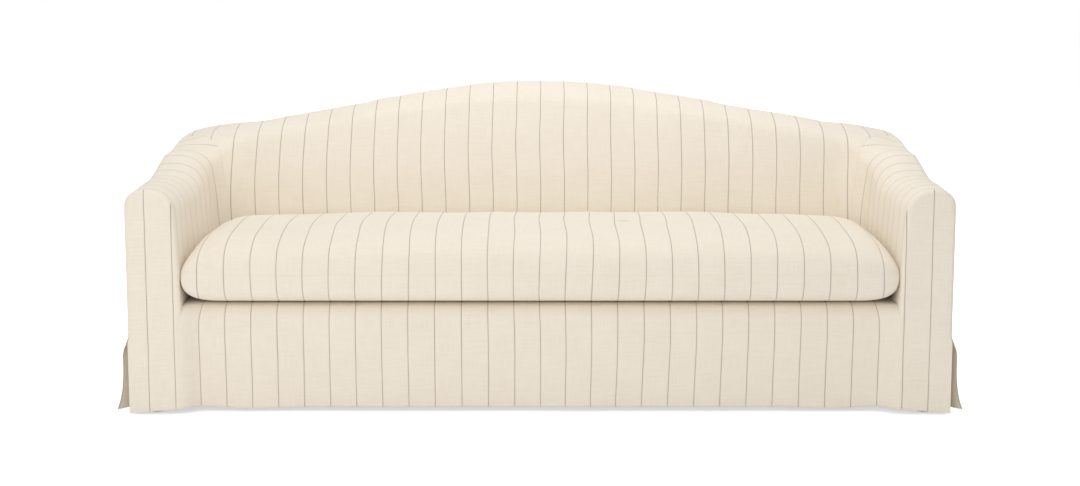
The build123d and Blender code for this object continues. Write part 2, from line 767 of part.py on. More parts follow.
def bolt_at(x, d, extra):
    length = bolt_in_foot + bolt_in_wood + extra
    rod = Cylinder(bolt_radius + extra, length)
    return Pos(*at(x, d, rail_bottom + (bolt_in_wood - bolt_in_foot) / 2)) * rod


def bolted(shape, x, d):
    return shape - bolt_at(x, d, bolt_clearance)


feet = [bolted(foot_at(*row), row[0], row[1]) for row in foot_rows]
save("right_front_foot", feet[0])
save("left_front_foot", mirrored(feet[0]))
save("right_rear_foot", feet[1])
save("left_rear_foot", mirrored(feet[1]))
save("center_feet", Compound(children=both(feet[2])))
foot_spots = [(row[0], row[1]) for row in foot_rows] + [(-row[0], row[1]) for row in foot_rows]
save("foot_bolts", Compound(children=[bolt_at(x, d, 0.0) for x, d in foot_spots]))
glides = [Pos(*at(x, d, glide_height / 2)) * Cylinder(glide_radius, glide_height) for x, d in foot_spots]
save("foot_glides", Compound(children=glides))
stretcher = bolted(stretcher, foot_rows[2][0], foot_rows[2][1])
save("right_stretcher", stretcher)
save("left_stretcher", mirrored(stretcher))
save("front_rail", front_rail)
save("rear_rail", rear_rail)
front_post = bolted(front_post, foot_rows[0][0], foot_rows[0][1])
back_post = bolted(back_post, foot_rows[1][0], foot_rows[1][1])
arm_frame = {"front_post": front_post, "back_post": back_post, "arm_side_panel": side_panel,
             "arm_top_rail": arm_rail, "outer_arm_board": outer_board}
for name, shape in arm_frame.items():
    save("right_" + name, shape)
    save("left_" + name, mirrored(shape))

# Dust cover under the rails, with room for the feet
dust_cover = board(-side_rail_outer, side_rail_outer, front_rail_front, rear_rail_back,
                   rail_bottom - dust_cover_thickness, rail_bottom)
foot_hole = center_foot / 2 + 2.0
for x in (-stretcher_x, stretcher_x):
    dust_cover = dust_cover - board(x - foot_hole, x + foot_hole, center_foot_d - foot_hole,
                                    center_foot_d + foot_hole, rail_bottom - 2.0, rail_bottom + 1.0)
save("dust_cover", dust_cover)

# Sinuous seat springs in their clips, with tie wires below
spring_front = front_rail_back - clip_half_depth - 2.0
spring_back = spring_rail_front + clip_half_depth + 2.0
loop_pitch = (spring_back - spring_front) / spring_loops


def spring_path():
    edges = []
    for i in range(spring_loops + 1):
        d = spring_front + i * loop_pitch
        side = spring_half_width if i % 2 == 0 else -spring_half_width
        edges.append(Line(at(-side, d, spring_height), at(side, d, spring_height)))
        if i < spring_loops:
            swell = side + math.copysign(loop_pitch / 2, side)
            edges.append(ThreePointArc(
                at(side, d, spring_height), at(swell, d + loop_pitch / 2, spring_height),
                at(side, d + loop_pitch, spring_height)))
    return Wire(edges)


start = Plane(origin=at(-spring_half_width, spring_front, spring_height), z_dir=(1, 0, 0))
spring = sweep(start * Circle(spring_wire / 2), path=spring_path())
spring_places = [spring_spacing * (i - (spring_count - 1) / 2) for i in range(spring_count)]
save("seat_springs", Compound(children=[Pos(x, 0, 0) * spring for x in spring_places]))


def clip_at(x, d, mouth):
    body = board(x - clip_width / 2, x + clip_width / 2, d - clip_half_depth, d + clip_half_depth,
                 rail_top, clip_top)
    slot = spring_wire / 2 + touch_gap
    near = d - slot if mouth > 0 else d - clip_half_depth - 1.0
    far = d + clip_half_depth + 1.0 if mouth > 0 else d + slot
    return body - board(x - clip_width, x + clip_width, near, far, spring_height - slot, spring_height + slot)


clips = []
for x in spring_places:
    clips.append(clip_at(x, spring_front, 1))
    clips.append(clip_at(x, spring_back, -1))
save("spring_clips", Compound(children=clips))
tie_height = spring_height - spring_wire / 2 - touch_gap - tie_wire / 2
tie_step = (spring_rail_front - front_rail_back) / (tie_count + 1)
ties = []
for i in range(tie_count):
    rod = Cylinder(tie_wire / 2, 2 * side_rail_inner - 10.0)
    ties.append(Pos(*at(0, front_rail_back + tie_step * (i + 1), tie_height)) * Rot(0, 90, 0) * rod)
save("spring_tie_wires", Compound(children=ties))

# Webbing across the back ribs
web_cut = back_cut(0.0)
web_arc = web_cut["arcs"][0]
web_inset = back_pad_back + 0.8 + web_thickness / 2
web_length = rib_spacing * (rib_count - 1) + rib_thickness
webs = []
for i in range(web_count):
    height = web_bottom + i * web_pitch
    angle = math.asin((height - web_arc[1]) / (web_arc[2] - web_inset))
    spot = place(web_cut, arc_point(web_arc, web_inset, angle))
    strap = Box(web_length, web_thickness, web_width)
    webs.append(Pos(*spot) * Rot(-math.degrees(angle), 0, 0) * strap)
save("back_webbing", Compound(children=webs))


# Seat cushion: crowned bench with drawn-in ends, in an upper and a lower half that meet at the seam
cushion_base = deck_height + touch_gap


def cushion_line(half, share, pull, inset):
    """Upright line from the front seam to the rear one, over the top or under the bottom.

    share draws the height in toward the seam and pull draws the depth in.
    """
    front = inset + pull
    rear = cushion_depth - inset - pull
    run = rear - front
    bow = 1 - diagonal
    if half == "top":
        high = cushion_seam + (cushion_crown - cushion_seam) * share - inset
        sag = cushion_crown_sag * share
        turn = mix(cushion_seam, high, 0.45)
        near = 0.2 * run
        far = 0.12 * run
    else:
        high = cushion_seam - (cushion_seam - cushion_base) * share + inset
        sag = 0.0
        turn = mix(cushion_seam, high, 0.45)
        near = 0.11 * run
        far = 0.09 * run
    level = high - sag
    nose = [(front, cushion_seam), (front + bow * near, mix(cushion_seam, level, diagonal)),
            (front + near, level)]
    crown = [(front + near, level), (rear - far, level)]
    if sag:
        crown.insert(1, ((front + near + rear - far) / 2, high))
    tail = [(rear - far, level), (rear - bow * far, mix(turn, level, diagonal)), (rear, turn)]
    return [nose, crown, tail, [(rear, turn), (rear, cushion_seam)]]


def cushion_edges(x, pieces):
    edges = []
    for piece in pieces:
        spots = [at(cushion_x(x, d), d, z) for d, z in piece]
        edges.append(Line(*spots) if len(spots) == 2 else ThreePointArc(*spots))
    return edges


def cushion_x(x, d):
    """Place along the cushion, which widens toward the front."""
    return x * (1 + 2 * cushion_taper / cushion_length * (1 - d / cushion_depth))


end_steps = [0.0, 0.1, 0.3, 0.6, 1.0]
end_share = 0.32


def cushion_rows(inset):
    """Places along the rounded right-hand end with their share and pull."""
    half = cushion_length / 2 - cushion_cloth - inset
    rows = []
    for step in end_steps:
        swell = math.sqrt(1 - (1 - step) ** 2)
        rows.append((half - step * cushion_end_round, mix(end_share, 1.0, swell),
                     cushion_corner_pull * (1 - swell)))
    return rows


def cushion_run(rows, wire_at):
    """Even middle of the cushion joined to a rounded end on each side."""
    end = Solid.make_loft([wire_at(*row) for row in rows])
    x, share, pull = rows[-1]
    middle = Solid.make_loft([wire_at(x, share, pull), wire_at(-x, share, pull)], ruled=True)
    return middle + end + mirrored(end)


def cushion_layer(half, outer, inner):
    """Half of a layer of the cushion between two insets, with a thin plate closing each end."""

    def wire_at(x, share, pull):
        near = cushion_line(half, share, pull, outer)
        far = cushion_line(half, share, pull, inner)
        back = [list(reversed(piece)) for piece in reversed(far)]
        ends = [[near[-1][-1], far[-1][-1]], [far[0][0], near[0][0]]]
        return Wire(cushion_edges(x, near + ends[:1] + back + ends[1:]))

    rows = cushion_rows(outer)
    x, share, pull = rows[0]
    pieces = cushion_line(half, share, pull, outer)
    pieces.append([pieces[-1][-1], pieces[0][0]])
    plate = extrude(Face(Wire(cushion_edges(x, pieces))), cushion_cloth, dir=(1, 0, 0))
    return cushion_run(rows, wire_at) + plate + mirrored(plate)


def cushion_block(inset):

    def wire_at(x, share, pull):
        top = cushion_line("top", share, pull, inset)
        bottom = cushion_line("bottom", share, pull, inset)
        back = [list(reversed(piece)) for piece in reversed(bottom)]
        return Wire(cushion_edges(x, top + back))

    return cushion_run(cushion_rows(inset), wire_at)


wrap_outer = cushion_cloth + cushion_play
wrap_inner = wrap_outer + cushion_wrap
for half in ("top", "bottom"):
    save("cushion_" + half + "_panel", cushion_layer(half, 0.0, cushion_cloth))
    save("cushion_" + half + "_wrap", cushion_layer(half, wrap_outer, wrap_inner))
save("cushion_core", cushion_block(wrap_inner + cushion_play))
tape = board(-zip_length / 2, zip_length / 2, cushion_depth, cushion_depth + zip_thickness,
             cushion_seam - zip_height / 2, cushion_seam + zip_height / 2)
save("cushion_zip_tape", tape)
slider_x = zip_length / 2 - slider_length
slider = board(slider_x, slider_x + slider_length, cushion_depth + zip_thickness + touch_gap,
               cushion_depth + zip_thickness + touch_gap + slider_thickness,
               cushion_seam - slider_height / 2, cushion_seam + slider_height / 2)
save("cushion_zip_slider", slider)
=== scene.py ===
"""Slipcovered camelback sofa: cloth, cushion, padding and finishes over the packed frame."""

import math
from collections import namedtuple

import bmesh
import bpy
import numpy as np
from bpy.props import FloatProperty, FloatVectorProperty, IntProperty, PointerProperty
from bpy.types import Operator, Panel, PropertyGroup
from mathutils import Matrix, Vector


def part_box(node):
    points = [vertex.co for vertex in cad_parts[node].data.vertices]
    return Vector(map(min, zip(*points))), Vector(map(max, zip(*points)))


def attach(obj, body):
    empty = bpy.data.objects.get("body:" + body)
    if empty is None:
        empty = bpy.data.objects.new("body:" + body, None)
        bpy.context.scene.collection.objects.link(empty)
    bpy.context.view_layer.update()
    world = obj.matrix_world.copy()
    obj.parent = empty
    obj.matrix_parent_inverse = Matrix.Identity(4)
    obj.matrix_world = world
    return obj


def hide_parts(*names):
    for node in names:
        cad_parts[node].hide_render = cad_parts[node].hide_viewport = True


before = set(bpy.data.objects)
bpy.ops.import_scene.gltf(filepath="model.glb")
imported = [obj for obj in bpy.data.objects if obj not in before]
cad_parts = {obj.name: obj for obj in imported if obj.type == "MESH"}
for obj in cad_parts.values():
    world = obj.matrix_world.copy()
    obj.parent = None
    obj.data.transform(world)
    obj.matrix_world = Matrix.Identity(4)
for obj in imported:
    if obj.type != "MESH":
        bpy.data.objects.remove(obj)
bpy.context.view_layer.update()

bl_info = {
    "name": "Slipcovered sofa",
    "version": (1, 0, 0),
    "blender": (4, 5, 0),
    "location": "View3D > Sidebar > Sofa",
    "description": "Dresses the sofa's frame in its striped slipcover, cushion, padding and finishes",
    "category": "Object",
}


# Sizes and colours that a user may change

def length(name, description, default):
    return FloatProperty(name=name, description=description, default=default, unit="LENGTH", precision=4)


def number(name, description, default, unit="NONE"):
    return FloatProperty(name=name, description=description, default=default, unit=unit)


def angle(name, description, degrees):
    return FloatProperty(name=name, description=description, default=math.radians(degrees), subtype="ANGLE")


def colour(name, description, red, green, blue):
    """Colour property from screen values of 0 to 255, kept as linear light."""
    screen = np.array([red, green, blue]) / 255
    linear = np.where(screen <= 0.04045, screen / 12.92, ((screen + 0.055) / 1.055) ** 2.4)
    return FloatVectorProperty(
        name=name, description=description, default=tuple(linear.tolist()), subtype="COLOR", min=0, max=1)


class CoverSizes(PropertyGroup):
    """Outside sizes of the slipcover. Depths run backward from the front of the arms."""

    arm_span: length("Arm span", "Width over both outer arms", 2.235)
    depth: length("Depth", "From the front of the arms to the outside back", 0.990)
    back_peak: length("Back peak", "Height of the arched back at its middle", 0.8325)
    camel_radius: length("Arch radius", "Radius of the arch along the back", 2.050)
    camel_slope: angle("Arch slope", "Slope of the back's top beside the arch", 9.4)
    arm_front_height: length("Arm front height", "Top of the arm at its front", 0.617)
    arm_back_height: length("Arm back height", "Top of the arm where it joins the back", 0.669)
    corner_dip: length("Corner dip", "How far the wall's top dips between arm and back", 0.011)
    arm_rise_start: length("Rise start", "Depth where the arm starts to rise", 0.290)
    arm_rise_end: length("Rise end", "Depth where the arm stops rising", 0.700)
    deck_height: length("Deck height", "Top of the deck under the cushion", 0.300)
    hem_height: length("Corner hem", "Hem above the floor at the arm corners", 0.008)
    skirt_hem: length("Skirt hem", "Hem above the floor along the skirt", 0.0145)
    corner_hem: length("Facing hem", "Hem above the floor at the outer end of the arm fronts", 0.004)
    outer_corner: length("Outer corner", "Radius of the rear corners in plan", 0.120)
    arm_base: length("Arm base", "Width of the arm at the deck, at its front", 0.1465)
    arm_taper: length("Arm taper", "How much wider the arm is at the inner corner", 0.012)
    seat_depth: length("Seat depth", "From the front of the arms to the inside back", 0.637)
    inner_corner: length("Inner corner", "Radius of the seat's rear corners in plan", 0.070)
    seam_angle: angle("Corner seam", "Turn from the arm at which arm and back are sewn together", 54.0)
    straight_rise: length("Straight rise", "Straight part of the inside face above the deck", 0.100)
    least_flat: length("Least flat", "Shortest flat on top of the wall", 0.004)
    front_round: length("Front round", "Radius of the arm's front edge", 0.012)
    skirt_recess: length("Skirt recess", "Skirt behind the plane of the arm fronts", 0.030)
    skirt_bend: length("Skirt bend", "Width of the bend from arm front to skirt", 0.062)
    deck_roll: length("Deck roll", "Radius at the front of the deck", 0.045)
    bend_take_up: length("Bend take-up", "Cloth taken up by each bend beside the skirt", 0.009)
    stripe_shift: length("Stripe shift", "Middle pinstripe of the skirt left of the middle", 0.003)
    deck_strip: length("Deck strip", "Depth at which the front panel ends on the deck", 0.180)
    vent_depth: length("Vent depth", "Depth of the flap at each front corner", 0.110)
    vent_height: length("Vent height", "Top of the opening at each front corner", 0.200)
    vent_flare: length("Vent flare", "How far the flap swings out at the hem", 0.040)
    vent_opening: length("Vent opening", "Height over which the flap swings open", 0.060)
    flap_setback: length("Flap setback", "How far the flap's front edge draws back from the corner", 0.030)
    cloth: length("Cloth", "Thickness of the cover", 0.0016)
    slack: length("Slack", "Height of the soft waves in the cover", 0.0013)

    @property
    def half_span(self):
        return self.arm_span / 2

    @property
    def arm_inner_front(self):
        return self.half_span - self.arm_base

    @property
    def arm_inner_back(self):
        return self.arm_inner_front - self.arm_taper

    @property
    def corner_x(self):
        return self.arm_inner_back - self.inner_corner

    @property
    def corner_d(self):
        return self.seat_depth - self.inner_corner

    @property
    def roll_low(self):
        return self.deck_height - self.deck_roll


class CushionSizes(PropertyGroup):
    """Sizes of the bench cushion."""

    length: length("Length", "Length along the seam at the rear", 1.920)
    taper: length("Taper", "How much each end widens toward the front", 0.014)
    depth: length("Depth", "Front to rear along the seam", 0.624)
    seam: length("Seam height", "Height of the seam round the cushion", 0.386)
    crown: length("Crown height", "Height of the cushion at its middle", 0.497)
    base: length("Base height", "Height of the underside", 0.3006)
    end_round: length("End round", "Length over which each end rounds off", 0.130)
    end_drop: length("End drop", "How much lower the top lies near the ends than at the middle", 0.012)
    corner_pull: length("Corner pull", "How far the corners are drawn in", 0.036)
    front_bulge: length("Front bulge", "How far the front sags forward below the seam", 0.008)
    top_fullness: number("Top fullness", "Squareness of the upper half", 3.0)
    base_fullness: number("Base fullness", "Squareness of the lower half", 7.0)
    cloth: length("Cloth", "Thickness of the cushion's cloth", 0.0012)
    wrap: length("Wrap", "Thickness of the fibre wrap round the foam", 0.018)
    pressure: number("Pressure", "Filling pressure while the cloth settles", 4.0)
    swell_limit: length("Swell limit", "Farthest that the cloth may swell out while settling", 0.004)
    sink_limit: length("Sink limit", "Farthest that the cloth may sink in while settling", 0.002)
    settle_frames: IntProperty(name="Settle frames", description="Steps of the settling", default=20)


class PaddingSizes(PropertyGroup):
    """Thicknesses and places of the padding under the cover."""

    room: length("Room", "Cover and air above the padding", 0.0045)
    arm_pad: length("Arm pad", "Thickness of the arm pads", 0.035)
    back_pad: length("Back pad", "Thickness of the back pad", 0.050)
    side_gap: length("Side gap", "Deck pad short of the wall padding", 0.0025)
    softness: length("Softness", "Height of the waves in the padding", 0.0008)
    web_width: length("Web width", "Width of each webbing strap", 0.045)
    web_thickness: length("Web thickness", "Thickness of the webbing", 0.002)
    web_bottom: length("Lowest web", "Height of the lowest strap", 0.440)
    web_pitch: length("Web pitch", "Distance between straps", 0.062)
    web_count: IntProperty(name="Web count", description="Number of straps across the back", default=4)


class ClothLook(PropertyGroup):
    """Colours and pattern of the cloths."""

    linen: colour("Linen", "Ground of the striped linen", 243, 234, 219)
    linen_shade: colour("Linen shade", "Darker yarns of the linen", 229, 217, 199)
    stripe: colour("Stripe", "Running thread of the pinstripe", 78, 60, 46)
    stripe_pitch: length("Stripe pitch", "Distance between pinstripes", 0.0712)
    stripe_width: length("Stripe width", "Width of a pinstripe", 0.0024)
    stitch: length("Stitch", "Length of one stitch of the pinstripe", 0.0068)
    yarn: length("Yarn", "Distance between yarns of the weave", 0.0013)
    muslin: colour("Muslin", "Fibre padding", 232, 229, 220)
    felt: colour("Felt", "Felt over the springs", 150, 146, 138)
    foam: colour("Foam", "Seat foam", 236, 224, 176)
    jute: colour("Jute", "Back webbing", 176, 146, 102)
    dust_cloth: colour("Dust cloth", "Cloth under the frame", 34, 34, 36)
    tape: colour("Zip tape", "Tape of the cushion's zip", 222, 212, 194)


class HardLook(PropertyGroup):
    """Colours of the hard parts."""

    pine: colour("Pine", "Frame wood", 214, 178, 128)
    pine_grain: colour("Pine grain", "Late wood in the frame", 176, 130, 82)
    dark_wood: colour("Dark wood", "Stained feet", 62, 42, 30)
    dark_grain: colour("Dark grain", "Grain in the feet", 34, 22, 16)
    steel: colour("Steel", "Springs, screws and bolts", 168, 168, 166)
    nylon: colour("Nylon", "Foot glides", 210, 206, 196)


class StageLook(PropertyGroup):
    """Camera and light."""

    lens: number("Lens", "Focal length in millimetres on a 36 mm frame", 66.67)
    camera_distance: length("Camera distance", "In front of the arm fronts", 5.3042)
    camera_height: length("Camera height", "Above the floor", 1.3334)
    camera_pitch: angle("Camera pitch", "Downward tilt", 9.2)
    floor: colour("Floor", "Pale floor", 250, 250, 250)
    key_power: number("Key", "Power of the large front light", 80.0, "POWER")
    fill_power: number("Fill", "Power of the overhead light", 46.0, "POWER")
    ambient: number("Ambient", "Strength of the even light from all sides", 0.56)
    glow: number("Floor glow", "White added to the floor beside the sofa", 0.6)
    shadow_reach: length("Shadow reach", "Distance from the sofa at which the floor is plain white", 0.40)


# Shared maths

def mix(a, b, t):
    return a + (b - a) * t


def ease(t):
    """Smooth step: three t squared less two t cubed, held at 0 and 1 outside."""
    t = np.clip(t, 0.0, 1.0)
    return t * t * (3 - 2 * t)


def waves(a, b, seed, size, count=12):
    """Sum of sine waves of random direction, phase and length near size, about one high."""
    rng = np.random.default_rng(seed)
    turns = rng.uniform(0, math.pi, count)
    sizes = size * rng.uniform(0.6, 1.8, count)
    phases = rng.uniform(0, 2 * math.pi, count)
    total = np.zeros(np.broadcast(a, b).shape)
    for turn, long, phase in zip(turns, sizes, phases):
        total += np.sin(2 * math.pi * (a * math.cos(turn) + b * math.sin(turn)) / long + phase)
    return total / math.sqrt(count)


def run_length(spots, axis):
    """Distance along the grid's lines in one direction, from their first point."""
    steps = np.linalg.norm(np.diff(spots, axis=axis), axis=-1)
    first = np.zeros_like(np.take(steps, [0], axis=axis))
    return np.concatenate([first, np.cumsum(steps, axis=axis)], axis=axis)


def from_end(spots, axis):
    """Distance along the grid's lines in one direction, back from their last point."""
    run = run_length(spots, axis)
    return np.take(run, [-1], axis=axis) - run


def outward(spots):
    """Unit normals of a grid: the cross product of its second and first directions."""
    normal = np.cross(np.gradient(spots, axis=1), np.gradient(spots, axis=0))
    return normal / np.maximum(np.linalg.norm(normal, axis=-1, keepdims=True), 1e-9)


def groove(distance, deep=0.0016, wide=0.007):
    """Bell-shaped dip beside a seam."""
    return -deep * np.exp(-(distance / wide) ** 2)


def rise_from(distance, over=0.04):
    """Zero at an edge, one away from it."""
    return 1 - np.exp(-(distance / over) ** 2)


def mirrored(spots):
    return spots * np.array([-1.0, 1.0, 1.0])


# The padded wall of arms and back, as upright cuts

Cuts = namedtuple("Cuts", "x d run_x run_d width crest shape")

# Lean of the face, bend of the face, roll radius, lean at the end of the roll, crown radius,
# fall of the top and edge radius. Angles in degrees, lengths in metres.
arm_front_shape = np.array([2.8, 1 / 8.0, 0.066, 80.0, 0.150, 5.0, 0.046])
arm_end_shape = np.array([2.8, 1 / 8.0, 0.075, 75.0, 0.110, 6.0, 0.032])
shoulder_shape = np.array([0.5, 1 / 0.6, 0.060, 70.0, 0.350, 4.0, 0.044])
peak_shape = np.array([0.5, 1 / 0.6, 0.060, 62.0, 0.290, 2.0, 0.040])


def camel_height(s, x):
    """Top of the back: an arc in the middle, then straight slopes that leave it smoothly."""
    x = np.abs(x)
    bend = s.camel_radius * math.sin(s.camel_slope)
    arc = s.back_peak - s.camel_radius + np.sqrt(np.maximum(s.camel_radius ** 2 - x ** 2, 0))
    low = s.back_peak - s.camel_radius * (1 - math.cos(s.camel_slope))
    return np.where(x < bend, arc, low - (x - bend) * math.tan(s.camel_slope))


def arm_height(s, d):
    """Top of the arm at depths d: level, then a smooth rise, then level again."""
    return mix(s.arm_front_height, s.arm_back_height,
               ease((d - s.arm_rise_start) / (s.arm_rise_end - s.arm_rise_start)))


def arm_inner(s, d):
    """Inner face of the right-hand arm at the deck: a straight line from its front to the corner."""
    return mix(s.arm_inner_front, s.arm_inner_back, d / s.corner_d)


def arm_cuts(s, d):
    """Cuts square to the right-hand arm at depths d."""
    x = arm_inner(s, d)
    shape = mix(arm_front_shape, arm_end_shape, ease(d / s.corner_d)[:, None])
    return Cuts(x, d, np.ones_like(d), np.zeros_like(d), s.half_span - x, arm_height(s, d), shape)


def corner_cuts(s, turn):
    """Cuts fanned about the right-hand inner corner, from the arm at 0 to the back at a right angle.

    The top runs smoothly from the arm's height to the back's, less a dip that is deepest midway.
    """
    run_x, run_d = np.cos(turn), np.sin(turn)
    side = (s.half_span - s.corner_x) / np.maximum(run_x, 1e-6)
    rear = (s.depth - s.corner_d) / np.maximum(run_d, 1e-6)
    off_x = s.half_span - s.outer_corner - s.corner_x
    off_d = s.depth - s.outer_corner - s.corner_d
    along = off_x * run_x + off_d * run_d
    aside = off_x ** 2 + off_d ** 2 - along ** 2
    rounded = along + np.sqrt(np.maximum(s.outer_corner ** 2 - aside, 0))
    reach = np.where(side * run_d <= off_d, side, np.where(rear * run_x <= off_x, rear, rounded))
    t = ease(turn / (math.pi / 2))
    arm_end = arm_height(s, np.array(s.corner_d))
    crest = mix(arm_end, camel_height(s, np.array(s.corner_x)), t) - s.corner_dip * 4 * t * (1 - t)
    shape = mix(arm_end_shape, shoulder_shape, t[:, None])
    return Cuts(s.corner_x + s.inner_corner * run_x, s.corner_d + s.inner_corner * run_d,
                run_x, run_d, reach - s.inner_corner, crest, shape)


def back_cuts(s, x):
    """Cuts square to the back at places x across it."""
    shape = mix(peak_shape, shoulder_shape, ease(np.abs(x) / s.corner_x)[:, None])
    return Cuts(x, np.full_like(x, s.seat_depth), np.zeros_like(x), np.ones_like(x),
                np.full_like(x, s.depth - s.seat_depth), camel_height(s, x), shape)


def joined(*parts):
    return Cuts(*[np.concatenate(field) for field in zip(*parts)])


def across(cuts):
    """The same cuts on the left-hand side, in reverse order."""
    back = Cuts(*[field[::-1] for field in cuts])
    return back._replace(x=-back.x, run_x=-back.run_x)


fit_rounds = 40


def wall_arcs(s, cuts):
    """Tangent arcs of each cut: face, roll, crown and edge.

    Each is (centre out, centre up, radius, first angle, last angle), angles from upright.
    The roll and crown are fitted so that the top reaches the crest inside the wall's width.
    """
    lean, bend, roll, roll_lean, widest, fall, edge = cuts.shape.T
    lean, roll_lean, fall = np.radians(lean), np.radians(roll_lean), np.radians(fall)
    face = 1 / bend
    foot_z = s.deck_height + s.straight_rise
    foot_w = s.straight_rise * np.tan(lean)
    crown = widest
    for step in range(fit_rounds):
        rise = cuts.crest - foot_z + face * np.sin(lean) - roll * np.sin(roll_lean)
        turn = np.arcsin((rise - crown * (1 - np.sin(roll_lean))) / (face - roll))
        roll_span = roll * (np.cos(turn) - np.cos(roll_lean))
        crown_w = foot_w + face * (np.cos(lean) - np.cos(turn)) + roll_span
        room = cuts.width - s.least_flat - edge * (1 - np.sin(fall)) - crown_w
        crown = np.minimum(widest, room / (np.cos(roll_lean) + np.sin(fall)))
    face_w = foot_w + face * np.cos(lean)
    face_z = foot_z - face * np.sin(lean)
    roll_w = face_w - (face - roll) * np.cos(turn)
    roll_z = face_z + (face - roll) * np.sin(turn)
    crown_w = roll_w - (roll - crown) * np.cos(roll_lean)
    crown_z = roll_z + (roll - crown) * np.sin(roll_lean)
    over = math.pi / 2 + fall
    flat = cuts.width - edge + edge * np.sin(fall) - crown_w + crown * np.cos(over)
    edge_z = crown_z + (crown - edge) * np.sin(over) - flat * np.tan(fall)
    return [
        (face_w, face_z, face, lean, turn),
        (roll_w, roll_z, roll, turn, roll_lean),
        (crown_w, crown_z, crown, roll_lean, over),
        (cuts.width - edge, edge_z, edge, over, np.full_like(over, math.pi))]


def arc_points(arc, inset, t):
    """Points at shares t of each arc, set in by inset."""
    centre_w, centre_z, radius, first, last = [value[:, None] for value in arc]
    turn = mix(first, last, t[None, :])
    return centre_w - (radius - inset) * np.cos(turn), centre_z + (radius - inset) * np.sin(turn)


# Rows on each part of a wall section: foot, face, roll, crown, flat and outer edge
section_rows = (12, 26, 16, 18, 4, 12)


def wall_section(s, cuts, inset, start_z, over_edge=True):
    """Rows of points up the inside face of each cut and over its top, set in by inset.

    A straight foot, three arcs, the flat of the top and, over_edge, the outer edge's arc.
    """
    face, roll, crown, edge = wall_arcs(s, cuts)
    inset = np.broadcast_to(inset, (len(cuts.x), 1))
    start_z = np.broadcast_to(start_z, (len(cuts.x), 1))
    first_w, first_z = arc_points(face, inset, np.zeros(1))
    start_w = first_w - (first_z - start_z) * np.tan(face[3])[:, None]
    share = [np.arange(count) / count for count in section_rows]
    runs = [(mix(start_w, first_w, share[0]), mix(start_z, first_z, share[0]))]
    runs += [arc_points(arc, inset, t) for arc, t in zip((face, roll, crown), share[1:4])]
    last = arc_points(crown, inset, np.ones(1))
    rim = arc_points(edge, inset, np.zeros(1))
    top = share[4] if over_edge else np.linspace(0, 1, section_rows[4] + 1)
    runs.append((mix(last[0], rim[0], top), mix(last[1], rim[1], top)))
    if over_edge:
        runs.append(arc_points(edge, inset, np.linspace(0, 1, section_rows[5] + 1)))
    return np.concatenate([w for w, z in runs], 1), np.concatenate([z for w, z in runs], 1)


def placed(s, cuts, w, z):
    """Points w out and z up in each cut, in the shared frame."""
    x = cuts.x[:, None] + w * cuts.run_x[:, None]
    d = cuts.d[:, None] + w * cuts.run_d[:, None]
    return np.stack([x, d - s.depth / 2, z + 0 * w], -1)


# Cuts on the rounded front edge of an arm, which belongs to the front panel, and along the arm; then
# round the arm's and the back's share of the corner, and along the back
edge_rows, arm_rows = 7, 72
arm_fan_rows, back_fan_rows, back_rows = 18, 13, 170


def arm_line(s):
    """Cuts along the right-hand arm to the corner seam, and their inset on the rounded front edge."""
    turn = np.linspace(0, math.pi / 2, edge_rows)
    straight = np.linspace(s.front_round, s.corner_d, arm_rows)[1:]
    d = np.concatenate([s.front_round * (1 - np.cos(turn)), straight])
    fan = np.linspace(0, s.seam_angle, arm_fan_rows)[1:]
    cuts = joined(arm_cuts(s, d), corner_cuts(s, fan))
    inset = np.zeros(len(cuts.x))
    inset[:edge_rows] = s.front_round * (1 - np.sin(turn))
    return cuts, inset[:, None]


def back_line(s):
    """Cuts along the back from the right-hand corner seam to the left-hand one."""
    fan = np.linspace(s.seam_angle, math.pi / 2, back_fan_rows)
    corner = corner_cuts(s, fan)
    middle = back_cuts(s, np.linspace(s.corner_x, -s.corner_x, back_rows)[1:-1])
    return joined(corner, middle, across(corner))


def seat_lines(s, first, rows):
    """Lines across the seat opening from depth first: depths and half widths, round at the rear corners."""
    bend = s.corner_d + s.inner_corner * np.sin(np.linspace(0, math.pi / 2, 12))[1:]
    d = np.concatenate([np.linspace(first, s.corner_d, rows), bend])[:, None]
    round_x = s.corner_x + np.sqrt(np.maximum(s.inner_corner ** 2 - (d - s.corner_d) ** 2, 0))
    return d, np.where(d < s.corner_d, arm_inner(s, d), round_x)


# Meshes

Patch = namedtuple("Patch", "spots weave turned")


def grid_quads(rows, columns):
    """Quads of a grid, facing the cross product of its second and first directions."""
    index = np.arange(rows * columns).reshape(rows, columns)
    return np.stack([index[:-1, :-1], index[:-1, 1:], index[1:, 1:], index[1:, :-1]], -1).reshape(-1, 4)


def new_mesh(name, spots, quads, weave=None):
    """Mesh of points and quads, with weave as a map named weave: metres across and along the cloth."""
    mesh = bpy.data.meshes.new(name)
    mesh.vertices.add(len(spots))
    mesh.vertices.foreach_set("co", np.ascontiguousarray(spots, dtype=np.float32).ravel())
    mesh.loops.add(quads.size)
    mesh.loops.foreach_set("vertex_index", np.ascontiguousarray(quads, dtype=np.int32).ravel())
    mesh.polygons.add(len(quads))
    mesh.polygons.foreach_set("loop_start", np.arange(len(quads), dtype=np.int32) * 4)
    mesh.polygons.foreach_set("use_smooth", np.ones(len(quads), dtype=bool))
    if weave is not None:
        layer = mesh.uv_layers.new(name="weave")
        layer.data.foreach_set("uv", np.ascontiguousarray(weave[quads.ravel()], dtype=np.float32).ravel())
    mesh.update(calc_edges=True)
    return mesh


def new_object(name, mesh, finish):
    mesh.materials.append(finish)
    piece = bpy.data.objects.new(name, mesh)
    bpy.context.scene.collection.objects.link(piece)
    return piece


